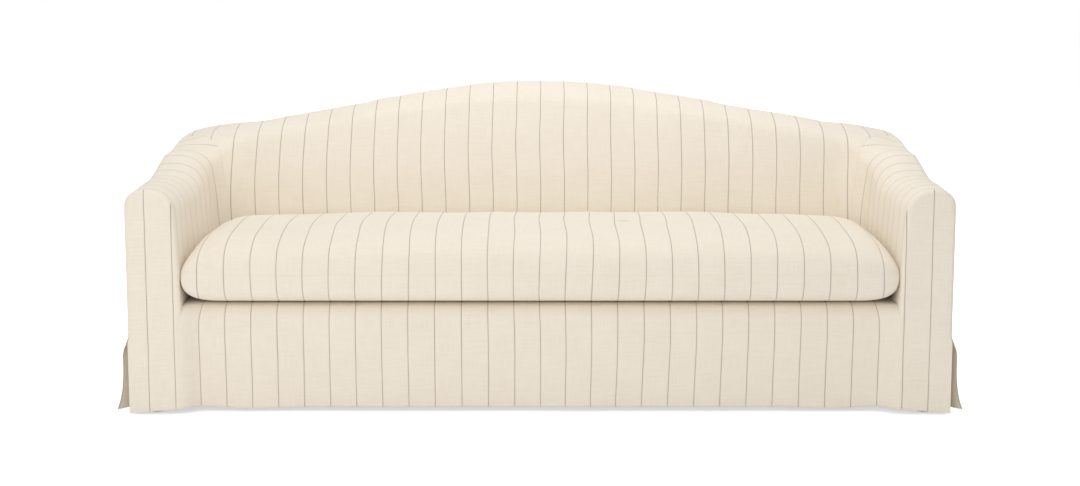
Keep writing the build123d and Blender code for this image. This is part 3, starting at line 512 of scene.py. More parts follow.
def tube_quads(rows, columns, first=0):
    """Quads of rings that close on themselves, with the first and last ring filled by a strip of quads."""
    index = np.arange(rows * columns).reshape(rows, columns) + first
    after = np.roll(index, -1, axis=1)
    sides = np.stack([index[:-1], after[:-1], after[1:], index[1:]], -1).reshape(-1, 4)
    step = np.arange(columns // 2 - 1)
    ends = [np.stack([index[row, step], index[row, step + 1], index[row, columns - 2 - step],
                      index[row, columns - 1 - step]], -1) for row in (0, -1)]
    return np.concatenate([sides, *ends])


def merge(mesh, near=0.00005, face_out=False):
    """Joins points that meet and, for a closed form, turns every face outward."""
    work = bmesh.new()
    work.from_mesh(mesh)
    bmesh.ops.remove_doubles(work, verts=work.verts, dist=near)
    if face_out:
        bmesh.ops.recalc_face_normals(work, faces=work.faces)
    work.to_mesh(mesh)
    work.free()


def thicken(piece, thickness):
    """Gives a sheet its thickness, inward."""
    wall = piece.modifiers.new("thickness", "SOLIDIFY")
    wall.thickness = thickness
    wall.offset = -1


def cloth_piece(name, patches, finish, thickness):
    """One cloth piece made of grids that meet, thickened inward."""
    spots, quads, weave, count = [], [], [], 0
    for patch in patches:
        rows, columns = patch.spots.shape[:2]
        faces = grid_quads(rows, columns)
        quads.append((faces[:, ::-1] if patch.turned else faces) + count)
        spots.append(patch.spots.reshape(-1, 3))
        weave.append(patch.weave.reshape(-1, 2))
        count += rows * columns
    mesh = new_mesh(name, np.concatenate(spots), np.concatenate(quads), np.concatenate(weave))
    merge(mesh)
    piece = new_object(name, mesh, finish)
    thicken(piece, thickness)
    piece.modifiers.new("even shading", "WEIGHTED_NORMAL").weight = 100
    return piece


def closed_piece(name, near, far, finish, bevel=0.0):
    """Closed form between two grids that lie over each other, with its rim and ends closed."""
    rings = np.concatenate([near, far[:, ::-1]], axis=1)
    mesh = new_mesh(name, rings.reshape(-1, 3), tube_quads(*rings.shape[:2]))
    merge(mesh, face_out=True)
    piece = new_object(name, mesh, finish)
    if bevel:
        edge = piece.modifiers.new("edge", "BEVEL")
        edge.width = bevel
        edge.segments = 3
        edge.limit_method = "ANGLE"
        edge.angle_limit = math.radians(50)
    return piece


def node_box(name):
    """Low and high corner of a CAD node's box."""
    low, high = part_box(name)
    return np.array(low), np.array(high)


def dress(piece, body, nodes):
    """Puts a piece on its body in place of CAD nodes."""
    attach(piece, body)
    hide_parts(*nodes)


def declare_sheet(patches):
    """Works out the area of a cloth's grids, and keeps nothing."""
    area = sum(patch_area(patch.spots) for patch in patches)


def patch_area(spots):
    """Area of a grid: half the length of the cross product of each quad's diagonals."""
    first = spots[1:, 1:] - spots[:-1, :-1]
    second = spots[1:, :-1] - spots[:-1, 1:]
    return float(np.linalg.norm(np.cross(first, second), axis=-1).sum() / 2)


# Materials

class Finish:
    """Builds a node material: add makes a node, and links or fills the sockets that it is given."""

    def __init__(self, name):
        self.material = bpy.data.materials.new(name)
        self.material.use_nodes = True
        self.tree = self.material.node_tree
        self.shader = self.tree.nodes["Principled BSDF"]

    def put(self, node, inputs):
        for key, value in inputs.items():
            socket = node.inputs[key]
            if isinstance(value, bpy.types.NodeSocket):
                self.tree.links.new(value, socket)
            else:
                socket.default_value = value

    def add(self, kind, inputs, **settings):
        node = self.tree.nodes.new("ShaderNode" + kind)
        for key, value in settings.items():
            setattr(node, key, value)
        self.put(node, inputs)
        return node.outputs[0]

    def sum(self, operation, *values):
        return self.add("Math", dict(enumerate(values)), operation=operation)

    def ramp(self, value, low, high, to_low=0.0, to_high=1.0):
        return self.add("MapRange", {0: value, 1: low, 2: high, 3: to_low, 4: to_high},
                        interpolation_type="SMOOTHSTEP")

    def blend(self, share, first, second):
        node = self.tree.nodes.new("ShaderNodeMix")
        node.data_type = "RGBA"
        self.put(node, {0: share, 6: first, 7: second})
        return node.outputs[2]

    def noise(self, place, scale, detail=3.0):
        return self.add("TexNoise", {"Vector": place, "Scale": scale, "Detail": detail})

    def split(self, place):
        node = self.tree.nodes.new("ShaderNodeSeparateXYZ")
        self.put(node, {0: place})
        return node.outputs

    def join(self, x, y, z=0.0):
        return self.add("CombineXYZ", {0: x, 1: y, 2: z})

    def stretched(self, parts, scales, *rest):
        return self.join(*[self.sum("MULTIPLY", part, scale) for part, scale in zip(parts, scales)], *rest)

    def object_place(self):
        return self.tree.nodes.new("ShaderNodeTexCoord").outputs["Object"]

    def weave_place(self):
        return self.add("UVMap", {}, uv_map="weave")

    def bump(self, height, strength, distance):
        return self.add("Bump", {"Height": height, "Strength": strength, "Distance": distance})

    def done(self, **sockets):
        self.put(self.shader, {key.replace("_", " "): value for key, value in sockets.items()})
        return self.material


def rgba(tone, share=1.0):
    """A colour with full cover, darkened or lightened by a share."""
    return (*(share * value for value in tone), 1.0)


def shared(name, make, look):
    """A material by name, made when it is first asked for."""
    return bpy.data.materials.get(name) or make(look)


def weave_height(f, across_yarns, along_yarns, yarn):
    """Plain weave: the product of two sine waves, one per yarn direction, so yarns pass over and under."""
    warp = f.sum("SINE", f.sum("MULTIPLY", across_yarns, 2 * math.pi / yarn))
    weft = f.sum("SINE", f.sum("MULTIPLY", along_yarns, 2 * math.pi / yarn))
    return f.sum("MULTIPLY", warp, weft)


def pinstripe_linen(look):
    """Cream linen with slubs and a dark running-stitch pinstripe at even spaces across the weave."""
    f = Finish("pinstripe_linen")
    u, v, _ = f.split(f.weave_place())
    slub_long = f.noise(f.stretched((u, v), (700.0, 18.0)), 1.0)
    slub_wide = f.noise(f.stretched((u, v), (18.0, 700.0), 3.7), 1.0)
    cloud = f.noise(f.join(u, v), 7.0)
    slubs = f.sum("ADD", slub_long, slub_wide)
    shade = f.ramp(f.sum("ADD", slubs, f.sum("MULTIPLY", cloud, 0.35)), 0.9, 1.5, 0.0, 0.5)
    ground = f.blend(shade, rgba(look.linen), rgba(look.linen_shade))
    drift = f.noise(f.join(f.sum("MULTIPLY", u, 6.0), v), 9.0)
    wander = f.sum("MULTIPLY", f.sum("SUBTRACT", drift, 0.5), 0.0028)
    turns = f.sum("DIVIDE", f.sum("ADD", u, wander), look.stripe_pitch)
    off = f.sum("ABSOLUTE", f.sum("SUBTRACT", f.sum("FRACT", f.sum("ADD", turns, 1000.5)), 0.5))
    metres = f.sum("MULTIPLY", off, look.stripe_pitch)
    thread = f.ramp(metres, 0.30 * look.stripe_width, 0.62 * look.stripe_width, 1.0, 0.0)
    beat = f.sum("SINE", f.sum("MULTIPLY", v, 2 * math.pi / look.stitch))
    uneven = f.noise(f.join(f.sum("FLOOR", turns), f.sum("MULTIPLY", v, 60.0)), 1.0)
    ink = f.ramp(f.sum("ADD", f.sum("MULTIPLY", beat, 0.5), uneven), 0.3, 0.8, 0.08, 1.0)
    colour_out = f.blend(f.sum("MULTIPLY", thread, ink), ground, rgba(look.stripe))
    weave = weave_height(f, u, v, look.yarn)
    raised = f.sum("ADD", slubs, f.sum("MULTIPLY", thread, -0.3))
    height = f.sum("ADD", f.sum("MULTIPLY", weave, 0.35), raised)
    return f.done(Base_Color=colour_out, Roughness=0.92, Sheen_Weight=0.12, Sheen_Roughness=0.5,
                  Specular_IOR_Level=0.18, Normal=f.bump(height, 0.28, 0.0006))


def fibre(name, tone, scale, fuzz):
    """Matted fibre: noise at two sizes lightens, darkens and raises the surface."""
    f = Finish(name)
    place = f.object_place()
    fine = f.noise(place, scale, 6.0)
    broad = f.noise(place, scale / 12, 3.0)
    share = f.ramp(f.sum("ADD", fine, f.sum("MULTIPLY", broad, 0.5)), 0.5, 1.0)
    return f.done(Base_Color=f.blend(share, rgba(tone, 0.80), rgba(tone)), Roughness=0.97, Sheen_Weight=fuzz,
                  Specular_IOR_Level=0.1, Normal=f.bump(fine, 0.55, 0.0015))


def foam(look):
    """Open-cell foam: small round cells sunk into the surface, with painted shade darkening each cell's
    middle.
    """
    f = Finish("seat_foam")
    cells = f.add("TexVoronoi", {"Vector": f.object_place(), "Scale": 420.0})
    # Painted shade: the foam colour drops to 0.78 toward the middle of each sunk cell, where the bump is
    # lowest.
    tone = f.blend(f.ramp(cells, 0.1, 0.6), rgba(look.foam, 0.78), rgba(look.foam))
    return f.done(Base_Color=tone, Roughness=0.95, Specular_IOR_Level=0.15, Normal=f.bump(cells, 0.5, 0.001))


def woven_strap(name, tone, yarn):
    """Coarse woven strap or tape: plain weave with painted shade between its yarns, where they dip under each
    other, and fray noise that varies its tone at random.
    """
    f = Finish(name)
    u, v, _ = f.split(f.weave_place())
    weave = weave_height(f, u, v, yarn)
    fray = f.noise(f.stretched((u, v), (300.0, 300.0)), 1.0)
    # Painted shade: the tone darkens to 0.55 where the weave dips between yarns; the fray noise is random
    # tone of the yarn.
    share = f.ramp(f.sum("ADD", weave, fray), -0.4, 1.2)
    return f.done(Base_Color=f.blend(share, rgba(tone, 0.55), rgba(tone)), Roughness=0.88,
                  Specular_IOR_Level=0.2, Normal=f.bump(weave, 0.6, 0.0008))


def dust_cloth(look):
    """Thin pressed cloth with a grid of bonded dots."""
    f = Finish("dust_cloth")
    u, v, _ = f.split(f.weave_place())
    dots = weave_height(f, u, v, 0.003)
    fuzz = f.noise(f.join(u, v), 600.0)
    tone = f.blend(f.ramp(f.sum("ADD", dots, fuzz), 0.0, 1.6), rgba(look.dust_cloth),
                   rgba(look.dust_cloth, 1.7))
    return f.done(Base_Color=tone, Roughness=0.9, Specular_IOR_Level=0.15, Normal=f.bump(dots, 0.4, 0.0004))


def wood(name, light, dark, rings, gloss):
    """Sawn wood: rings of early and late wood stretched along x, with fine pores across them."""
    f = Finish(name)
    place = f.object_place()
    x, y, z = f.split(place)
    bent = f.noise(f.stretched((x, y, z), (0.8, 6.0, 6.0)), 1.5)
    ring = f.sum("ADD", f.sum("ADD", y, z), f.sum("MULTIPLY", bent, 0.06))
    band = f.sum("SINE", f.sum("MULTIPLY", ring, rings))
    pores = f.noise(f.stretched((x, y, z), (25.0, 500.0, 500.0)), 1.0, 4.0)
    share = f.ramp(f.sum("ADD", band, f.sum("MULTIPLY", pores, 0.9)), -0.6, 1.5)
    rough = f.ramp(pores, 0.3, 0.7, gloss - 0.08, gloss + 0.1)
    return f.done(Base_Color=f.blend(share, rgba(light), rgba(dark)), Roughness=rough,
                  Normal=f.bump(pores, 0.25, 0.0005))


def steel(look):
    """Drawn steel: fine scratches vary the gloss, with a faint darker film."""
    f = Finish("spring_steel")
    place = f.object_place()
    film = f.noise(place, 60.0, 4.0)
    scratch = f.noise(place, 900.0, 2.0)
    tone = f.blend(f.ramp(film, 0.35, 0.7), rgba(look.steel), rgba(look.steel, 0.6))
    return f.done(Base_Color=tone, Metallic=1.0, Roughness=f.ramp(scratch, 0.2, 0.8, 0.28, 0.5),
                  Normal=f.bump(scratch, 0.1, 0.0002))


def nylon(look):
    """Moulded nylon: a fine matt texture with faint clouding."""
    f = Finish("moulded_nylon")
    place = f.object_place()
    grain = f.noise(place, 1200.0, 2.0)
    tone = f.blend(f.ramp(f.noise(place, 120.0), 0.3, 0.7), rgba(look.nylon), rgba(look.nylon, 0.88))
    return f.done(Base_Color=tone, Roughness=f.ramp(grain, 0.3, 0.7, 0.4, 0.55),
                  Normal=f.bump(grain, 0.15, 0.0002))


def linen_of(context):
    return shared("pinstripe_linen", pinstripe_linen, context.scene.sofa_cloth)


# Slipcover panels

arm_seeds = {"right": 41, "left": 61}

# Depth over which the inside arm leaves the deck roll, height over which the corner closes above its
# vent, and the first pinstripe's distance on the arm's cloth
tuck_run, vent_close, stripe_lead = 0.028, 0.03, 0.040

# Waves of the front hem, each by height, place across and width; then how far past the outer face
# the hem starts to rise toward the skirt, and over what width
hem_waves = ((0.003, 0.945, 0.05), (-0.004, 0.79, 0.10))
hem_lead, hem_run = 0.03, 0.19

# Fullness of the skirt under the deck by depth, height and reach, and its kick at the hem by depth and height
fullness, full_height, full_reach = 0.0065, 0.215, 0.05
kick, kick_height = 0.005, 0.25

# Distance from the middle at which the facing widens to the open corner, and at which the strip on the
# deck starts to draw in
corner_start, draw_start = 1.06, 0.80

# Rows down the outside arms and the outside back; columns of the skirt, and rows on its roll and its strip
arm_drop_rows, back_drop_rows = 64, 80
skirt_columns, skirt_roll_rows = 181, 12

# Depth of the dip where a panel meets the edge of the top
rim_dip = 0.001


def hanging_waves(s, across_cloth, down_cloth, seed, size, drop):
    """Long upright waves of hanging cloth that grow toward the hem."""
    return 1.5 * s.slack * waves(across_cloth, down_cloth, seed, size) * mix(0.5, 1.3, drop)


def inside_arm_skin(s, seed):
    """Right-hand inside arm from its front edge back: the wall's skin from under the deck over the top."""
    cuts, inset = arm_line(s)
    tuck = s.deck_roll * (1 - ease((cuts.d - s.skirt_recess) / tuck_run)) * (cuts.run_d == 0)
    w, z = wall_section(s, cuts, inset, (s.deck_height - tuck)[:, None])
    spots = placed(s, cuts, w, z)
    v = run_length(spots, 1)
    to_seam, to_front = from_end(spots, 0), run_length(spots, 0)
    to_rim = from_end(spots, 1)
    fade = rise_from(to_seam) * rise_from(to_front) * rise_from(to_rim)
    soft = s.slack * (waves(spots[..., 1], v, seed, 0.30) + 0.5 * waves(spots[..., 1], v, seed + 1, 0.11))
    move = fade * soft + groove(to_seam) + groove(to_rim, rim_dip)
    weave = np.stack([arm_width(s, spots), v], -1)
    return spots + outward(spots) * move[..., None], weave


def arm_width(s, spots):
    """Place across the arm's cloth: depth, plus the first pinstripe's lead."""
    return spots[..., 1] + s.depth / 2 + stripe_lead


def outside_arm_skin(s, seed):
    """Right-hand outside arm from its front edge back, and the column where the corner vent opens.

    It hangs straight from the top's edge. Below the vent its front swings out, most at the hem,
    and draws back from the corner.
    """
    cuts, inset = arm_line(s)
    edge = wall_arcs(s, cuts)[3]
    drop = np.linspace(0, 1, arm_drop_rows)
    z = mix(edge[1][:, None], s.hem_height, drop)
    closed = ease((z - s.vent_height) / vent_close)
    w = cuts.width[:, None] - inset * closed
    low = np.clip((s.vent_height - z) / (s.vent_height - s.hem_height), 0, 1)
    near = np.clip((s.vent_depth - cuts.d[:, None]) / s.vent_depth, 0, 1) * (cuts.run_d == 0)[:, None]
    swung = ease((s.vent_height + s.vent_opening / 3 - z) / s.vent_opening)
    w = w + s.vent_flare * mix(swung, low ** 4, 0.5) * near ** 2
    spots = placed(s, cuts, w, z)
    spots[..., 1] += s.flap_setback * swung * near
    v = run_length(spots, 1)
    fade = rise_from(run_length(spots, 0)) * rise_from(from_end(spots, 0)) * rise_from(v)
    soft = hanging_waves(s, spots[..., 1], 0.35 * v, seed, 0.28, drop)
    move = fade * soft + groove(from_end(spots, 0)) + groove(v, rim_dip)
    weave = np.stack([arm_width(s, spots), -v], -1)
    return spots + outward(spots) * move[..., None], weave, int(np.argmax(z[0] < s.vent_height))


def hem_line(s, x):
    """Height of the front hem: low at the arm corners, lifted beside the bend, with a dip further in."""
    side = np.abs(x)
    lift = sum(high * np.exp(-((side - place) / wide) ** 2) for high, place, wide in hem_waves)
    return lift + mix(s.corner_hem, s.skirt_hem, ease((s.half_span + hem_lead - side) / hem_run))


def hang(s, x, z, seed=11):
    """Depth of the front panel at x and z.

    The skirt is set back behind the arm fronts, a little full under the deck and kicked back at the hem,
    with soft upright waves.
    """
    back = 1 - beside_skirt(s, x)
    full = fullness * np.exp(-((z - full_height) / full_reach) ** 2)
    kicked = kick * np.clip(1 - z / kick_height, 0, 1)
    folds = waves(x, 0.22 * z, seed, 0.24) + 0.4 * waves(x, 0.5 * z, seed + 1, 0.09)
    calm = mix(0.35, 1.0, np.clip(1 - z / s.deck_height, 0, 1)) * mix(0.5, 1.0, back)
    return back * (s.skirt_recess + (kicked - full)) + 1.2 * s.slack * folds * calm * (z < s.arm_front_height)


def beside_skirt(s, x):
    """Smooth step across the bend beside the skirt: 0 on the skirt, 1 on the arm front."""
    return ease((np.abs(x) - arch(s)[0][0] + s.skirt_bend) / s.skirt_bend)


def front_width(s, x):
    """Place across the front panel's cloth: x, plus what the bend beside the skirt takes up."""
    return x + s.stripe_shift + np.sign(x) * s.bend_take_up * beside_skirt(s, x)


def arch(s):
    """Outline of the right-hand arm front inside its rounded edge, from beside the deck up: x and z."""
    cut = arm_cuts(s, np.zeros(1))
    w, z = wall_section(s, cut, s.front_round, s.roll_low)
    return cut.x[0] + w[0], z[0]


# Shares of the height from the hem to the deck's roll
low_rows = np.linspace(0, 1, 40)


def facing_patch(s):
    """Right-hand arm front: upright columns from the hem to the arch over them."""
    x, top = arch(s)
    x, top = x[:, None], top[:, None]
    hem = hem_line(s, x)
    z = np.concatenate([mix(hem, s.roll_low, low_rows), mix(s.roll_low, top, low_rows[1:])], 1)
    opened = 1 - ease((z - s.vent_height) / vent_close)
    corner_run = s.half_span - s.front_round - corner_start
    wide = x + s.front_round * opened * ease((x - corner_start) / corner_run)
    still = rise_from(np.maximum(top - z, 0), 0.03)
    d = hang(s, x, z) * still
    return np.stack([wide, d - s.depth / 2, z], -1)


def skirt_patch(s):
    """Skirt between the arm fronts, rolled back over the deck's front edge to the strip on the deck."""
    edge = arch(s)[0][0]
    turn = np.linspace(-math.pi / 2, math.pi / 2, skirt_columns)
    x = (edge * mix(turn / (math.pi / 2), np.sin(turn), 0.35))[:, None]
    z = mix(hem_line(s, x), s.roll_low, low_rows)
    d = hang(s, x, z)
    start = d[:, -1:]
    roll = np.linspace(0, math.pi / 2, skirt_roll_rows)[None, 1:]
    roll_d = start + s.deck_roll * (1 - np.cos(roll))
    roll_z = s.roll_low + s.deck_roll * np.sin(roll)
    strip_d = mix(roll_d[:, -1:], s.deck_strip, np.linspace(0, 1, skirt_roll_rows)[None, 1:])
    past = np.concatenate([0 * d, np.sin(roll) + 0 * roll_d, np.ones_like(strip_d)], 1)
    depth = np.concatenate([d, roll_d, strip_d], 1)
    height = np.concatenate([z, roll_z + 0 * roll_d, s.deck_height + 0 * strip_d], 1)
    draw = past * (edge - arm_inner(s, depth)) * ease((np.abs(x) - draw_start) / (edge - draw_start))
    spots = np.stack([x - np.sign(x) * draw, depth - s.depth / 2, height], -1)
    lean = 0.004 * waves(x, 1.6 * height, 31, 0.8)
    return spots, np.stack([front_width(s, x) + lean * np.clip(1 - np.abs(x), 0, 1), height], -1)


def pleat_patch(s):
    """Right-hand corner underlay: an upright strip turned from behind the arm front to behind the flap."""
    side, front = s.half_span - 0.0052, 0.0042 - s.depth / 2
    turn = np.linspace(0, math.pi / 2, 7)
    radius, wide, deep, count = 0.004, 0.060, 0.085, 14
    x = np.concatenate([np.linspace(side - wide, side - radius, count),
                        side - radius + radius * np.sin(turn)[1:], np.full(count, side)])
    y = np.concatenate([np.full(count, front), front + radius * (1 - np.cos(turn))[1:],
                        np.linspace(front + radius, front + deep, count + 1)[1:]])
    z = np.linspace(s.hem_height + 0.002, s.vent_height + 0.02, 30)
    spots = np.stack(np.broadcast_arrays(x[:, None], y[:, None], z[None, :]), -1)
    return spots, np.stack([run_length(spots, 0) + 0.031, run_length(spots, 1)], -1)


def deck_patch(s):
    """Deck cloth: lines across the seat opening, whose rear corners are rounded in plan."""
    d, edge = seat_lines(s, s.deck_strip, 40)
    x = edge * np.linspace(1, -1, 130)
    z = s.deck_height - 0.0004 + 0.0003 * waves(x, d, 21, 0.3) / 2
    spots = np.stack([x, d - s.depth / 2 + 0 * x, z], -1)
    return spots, np.stack([x, d + 0 * x], -1)


def inside_back_patch(s, seed):
    """Inside back: the wall's skin between the corner seams, from the deck over the arched top."""
    cuts = back_line(s)
    w, z = wall_section(s, cuts, 0.0, s.deck_height)
    spots = placed(s, cuts, w, z)
    v = run_length(spots, 1)
    ends = np.minimum(run_length(spots, 0), from_end(spots, 0))
    to_rim = from_end(spots, 1)
    x = spots[..., 0]
    soft = s.slack * (1.3 * waves(x, v, seed, 0.36) + 0.5 * waves(x, v, seed + 1, 0.12))
    move = rise_from(ends) * rise_from(to_rim) * soft + groove(ends) + groove(to_rim, rim_dip)
    lean = 0.003 * waves(x, 1.5 * v, seed + 2, 0.7)
    weave = np.stack([x + lean, v], -1)
    return spots + outward(spots) * move[..., None], weave


def outside_back_patch(s, seed):
    """Outside back: straight down from the top's edge to the hem, round both rear corners to the seams."""
    cuts = back_line(s)
    edge = wall_arcs(s, cuts)[3]
    drop = np.linspace(0, 1, back_drop_rows)
    z = mix(edge[1][:, None], s.hem_height, drop)
    spots = placed(s, cuts, cuts.width[:, None] + 0 * z, z)
    v = run_length(spots, 1)
    ends = np.minimum(run_length(spots, 0), from_end(spots, 0))
    soft = hanging_waves(s, spots[..., 0], 0.3 * v, seed, 0.30, drop)
    move = rise_from(ends) * rise_from(v) * soft + groove(ends) + groove(v, rim_dip)
    around = run_length(spots, 0)
    weave = np.stack([around[-1:] / 2 - around, -v], -1)
    return spots + outward(spots) * move[..., None], weave


class SOFA_OT_cover_front(Operator):
    """Front panel in one run, both arm fronts and the skirt between them, and the corner underlays"""
    bl_idname = "sofa.cover_front"
    bl_label = "Cover front"

    def execute(self, context):
        s = context.scene.sofa_cover
        linen = linen_of(context)
        facing = facing_patch(s)
        skirt, skirt_weave = skirt_patch(s)
        patches = [Patch(skirt, skirt_weave, True)]
        for side, seed in arm_seeds.items():
            top = inside_arm_skin(s, seed)[0][:edge_rows]
            outer, _, vent = outside_arm_skin(s, seed + 5)
            for grid, turned in ((facing, True), (top, False), (outer[:edge_rows, :vent + 1], False)):
                left = side == "left"
                spots = mirrored(grid) if left else grid
                weave = np.stack([front_width(s, spots[..., 0]), spots[..., 2]], -1)
                patches.append(Patch(spots, weave, turned != left))
        panel = cloth_piece("cover_front_panel", patches, linen, s.cloth)
        dress(panel, "slipcover", ["slipcover_front_panel"])
        declare_sheet(patches)
        pleat, pleat_weave = pleat_patch(s)
        patches = [Patch(pleat, pleat_weave, True), Patch(mirrored(pleat), pleat_weave, False)]
        underlay = cloth_piece("cover_corner_underlays", patches, linen, s.cloth)
        dress(underlay, "slipcover", ["slipcover_corner_pleats"])
        return {"FINISHED"}


class SOFA_OT_cover_arms(Operator):
    """Inside arms with their tops, and outside arms with the flared corner flaps"""
    bl_idname = "sofa.cover_arms"
    bl_label = "Cover arms"

    def execute(self, context):
        s = context.scene.sofa_cover
        linen = linen_of(context)
        for side, seed in arm_seeds.items():
            left = side == "left"
            inside, inside_weave = inside_arm_skin(s, seed)
            outside, outside_weave, vent = outside_arm_skin(s, seed + 5)
            flap = (slice(edge_rows), slice(vent, None))
            rear = slice(edge_rows - 1, None)
            grids = {"inside": [(inside[rear], inside_weave[rear])],
                     "outside": [(outside[rear], outside_weave[rear]), (outside[flap], outside_weave[flap])]}
            for name, parts in grids.items():
                patches = [Patch(mirrored(spots) if left else spots, weave, left) for spots, weave in parts]
                piece = cloth_piece(f"cover_{side}_{name}_arm", patches, linen, s.cloth)
                dress(piece, "slipcover", [f"slipcover_{side}_{name}_arm"])
                declare_sheet(patches)
        return {"FINISHED"}


class SOFA_OT_cover_back(Operator):
    """Inside back over the arched top, and outside back down to the hem"""
    bl_idname = "sofa.cover_back"
    bl_label = "Cover back"

    def execute(self, context):
        s = context.scene.sofa_cover
        linen = linen_of(context)
        for name, make, held, seed in (("inside", inside_back_patch, "stretched", 81),
                                       ("outside", outside_back_patch, "hung", 91)):
            spots, weave = make(s, seed)
            patches = [Patch(spots, weave, False)]
            piece = cloth_piece(f"cover_{name}_back", patches, linen, s.cloth)
            dress(piece, "slipcover", [f"slipcover_{name}_back"])
            declare_sheet(patches)
        return {"FINISHED"}


class SOFA_OT_cover_deck(Operator):
    """Cloth on the deck under the cushion"""
    bl_idname = "sofa.cover_deck"
    bl_label = "Cover deck"

    def execute(self, context):
        s = context.scene.sofa_cover
        spots, weave = deck_patch(s)
        patches = [Patch(spots, weave, False)]
        piece = cloth_piece("cover_deck", patches, linen_of(context), s.cloth)
        dress(piece, "slipcover", ["slipcover_deck"])
        declare_sheet(patches)
        return {"FINISHED"}


# Seat cushion

# Lines along the cushion and round each end, and points across it; the squareness of its ends above
# and below the seam; the height and reach of the sag in its front; the room round its fibre wrap and
# its foam
cushion_rows, cushion_end_rows, cushion_columns = 120, 22, 84
top_end_full, base_end_full = 2.3, 3.6
sag_height, sag_reach = 0.350, 0.030
wrap_room, core_room = 0.004, 0.005

# Waves in the cushion's top by height and length, the dip at its seam by depth and width, and the
# wander of its pinstripes by width, length and seed
top_wave, top_wave_size = 0.0012, 0.26
seam_dip, seam_width = 0.0004, 0.006
stripe_drift, drift_size, drift_seed = 0.004, 0.5, 102


def cushion_grid(c, half, inset):
    """Upper or lower half of the cushion's skin, set in by inset, and the front width of each line.

    Along the cushion the top lies a little lower toward the ends, and each end rounds off to the seam
    as a quarter superellipse, squarer below.
    Across it, depth and height follow a superellipse about the seam. The front sags a little
    forward below the seam, and the ends widen toward the front.
    """
    reach = c.length / 2 - inset
    turn = np.linspace(0, math.pi / 2, cushion_end_rows)
    end = reach - c.end_round + c.end_round * np.sin(turn)
    middle = np.linspace(c.end_round - reach, reach - c.end_round, cushion_rows)
    x = np.concatenate([-end[:0:-1], middle, end[1:]])[:, None]
    share = even_shares(c)
    upper = half == "top"
    full, end_full = (c.top_fullness, top_end_full) if upper else (c.base_fullness, base_end_full)
    rounded = np.maximum(1 - np.sin(turn) ** end_full, 0) ** (1 / end_full)
    swell = np.concatenate([rounded[:0:-1], np.ones(cushion_rows), rounded[1:]])[:, None]
    drop = c.end_drop * ease((np.abs(x) / reach - 0.45) / 0.5)
    high = c.crown - c.seam - drop if upper else c.base - c.seam + 0 * drop
    rise = np.maximum(1 - np.abs(share) ** full, 0) ** (1 / full)
    deep = c.depth / 2 - inset - c.corner_pull * (1 - swell)
    z = c.seam + (high - (inset if upper else -inset)) * swell * rise
    d = c.depth / 2 - deep * share
    sag = np.exp(-((z - sag_height) / sag_reach) ** 2) * ease((share - 0.6) / 0.4)
    d = d - c.front_bulge * sag * swell
    widen = 1 + 2 * c.taper / c.length
    spots = np.stack([x * mix(widen, 1.0, d / c.depth), d - bpy.context.scene.sofa_cover.depth / 2, z], -1)
    return spots, widen * x + 0 * d


def even_shares(c):
    """Shares of the half depth, 1 at the front seam to -1 at the rear, even along the upper skin."""
    turn = np.linspace(0, math.pi, 4001)
    share = np.sign(np.cos(turn)) * np.abs(np.cos(turn)) ** (2 / c.top_fullness)
    rise = np.sin(turn) ** (2 / c.top_fullness)
    line = np.stack([share * c.depth / 2, rise * (c.crown - c.seam)], -1)
    run = run_length(line, 0)
    share = np.interp(np.linspace(0, run[-1], cushion_columns), run, share)
    share[0], share[-1] = 1.0, -1.0
    return share


def settled(c, top, bottom):
    """Both halves after the closed cover was filled and left to settle.

    The seam stays where it is sewn, and elsewhere the move along the skin's normal is kept within limits.
    """
    rows, columns = top.shape[:2]
    upper = np.arange(rows * columns).reshape(rows, columns)
    lower = upper.copy()
    lower[1:-1, 1:-1] = rows * columns + np.arange((rows - 2) * (columns - 2)).reshape(rows - 2, columns - 2)
    start = np.concatenate([top.reshape(-1, 3), bottom[1:-1, 1:-1].reshape(-1, 3)])
    quads = grid_quads(rows, columns)
    faces = np.concatenate([quads, lower.ravel()[quads][:, ::-1]])
    mesh = new_mesh("settling", start, faces)
    piece = bpy.data.objects.new("settling", mesh)
    scene = bpy.context.scene
    scene.collection.objects.link(piece)
    cloth = piece.modifiers.new("settle", "CLOTH")
    rules = cloth.settings
    rules.quality = 6
    rules.mass = 0.3
    rules.use_pressure = True
    rules.uniform_pressure_force = c.pressure
    rules.effector_weights.gravity = 0
    rules.shrink_min = -0.012
    cloth.point_cache.frame_start = 1
    cloth.point_cache.frame_end = c.settle_frames
    for step in range(1, c.settle_frames + 1):
        scene.frame_set(step)
    done = piece.evaluated_get(bpy.context.evaluated_depsgraph_get()).data
    end = np.empty(len(start) * 3, dtype=np.float32)
    done.vertices.foreach_get("co", end)
    bpy.data.objects.remove(piece)
    bpy.data.meshes.remove(mesh)
    scene.frame_set(1)
    move = end.reshape(-1, 3) - start
    halves = []
    for index, side in ((upper, 1), (lower, -1)):
        spots = start[index]
        normal = side * outward(spots)
        along = np.clip((move[index] * normal).sum(-1), -c.sink_limit, c.swell_limit)
        halves.append(spots + normal * (along * rise_from(rim_distance(spots)))[..., None])
    return halves


def rim_distance(spots):
    """Distance from the nearest edge of a grid, along its lines."""
    return np.minimum.reduce([measure(spots, axis) for axis in (1, 0) for measure in (run_length, from_end)])


def between_arms(s, spots):
    """The same points held 1 mm inside the leaning inner faces of the arms."""
    lean = math.tan(math.radians(arm_front_shape[0]))
    room = arm_inner(s, spots[..., 1] + s.depth / 2) + lean * (spots[..., 2] - s.deck_height) - 0.001
    return np.concatenate([np.clip(spots[..., :1], -room[..., None], room[..., None]), spots[..., 1:]], -1)


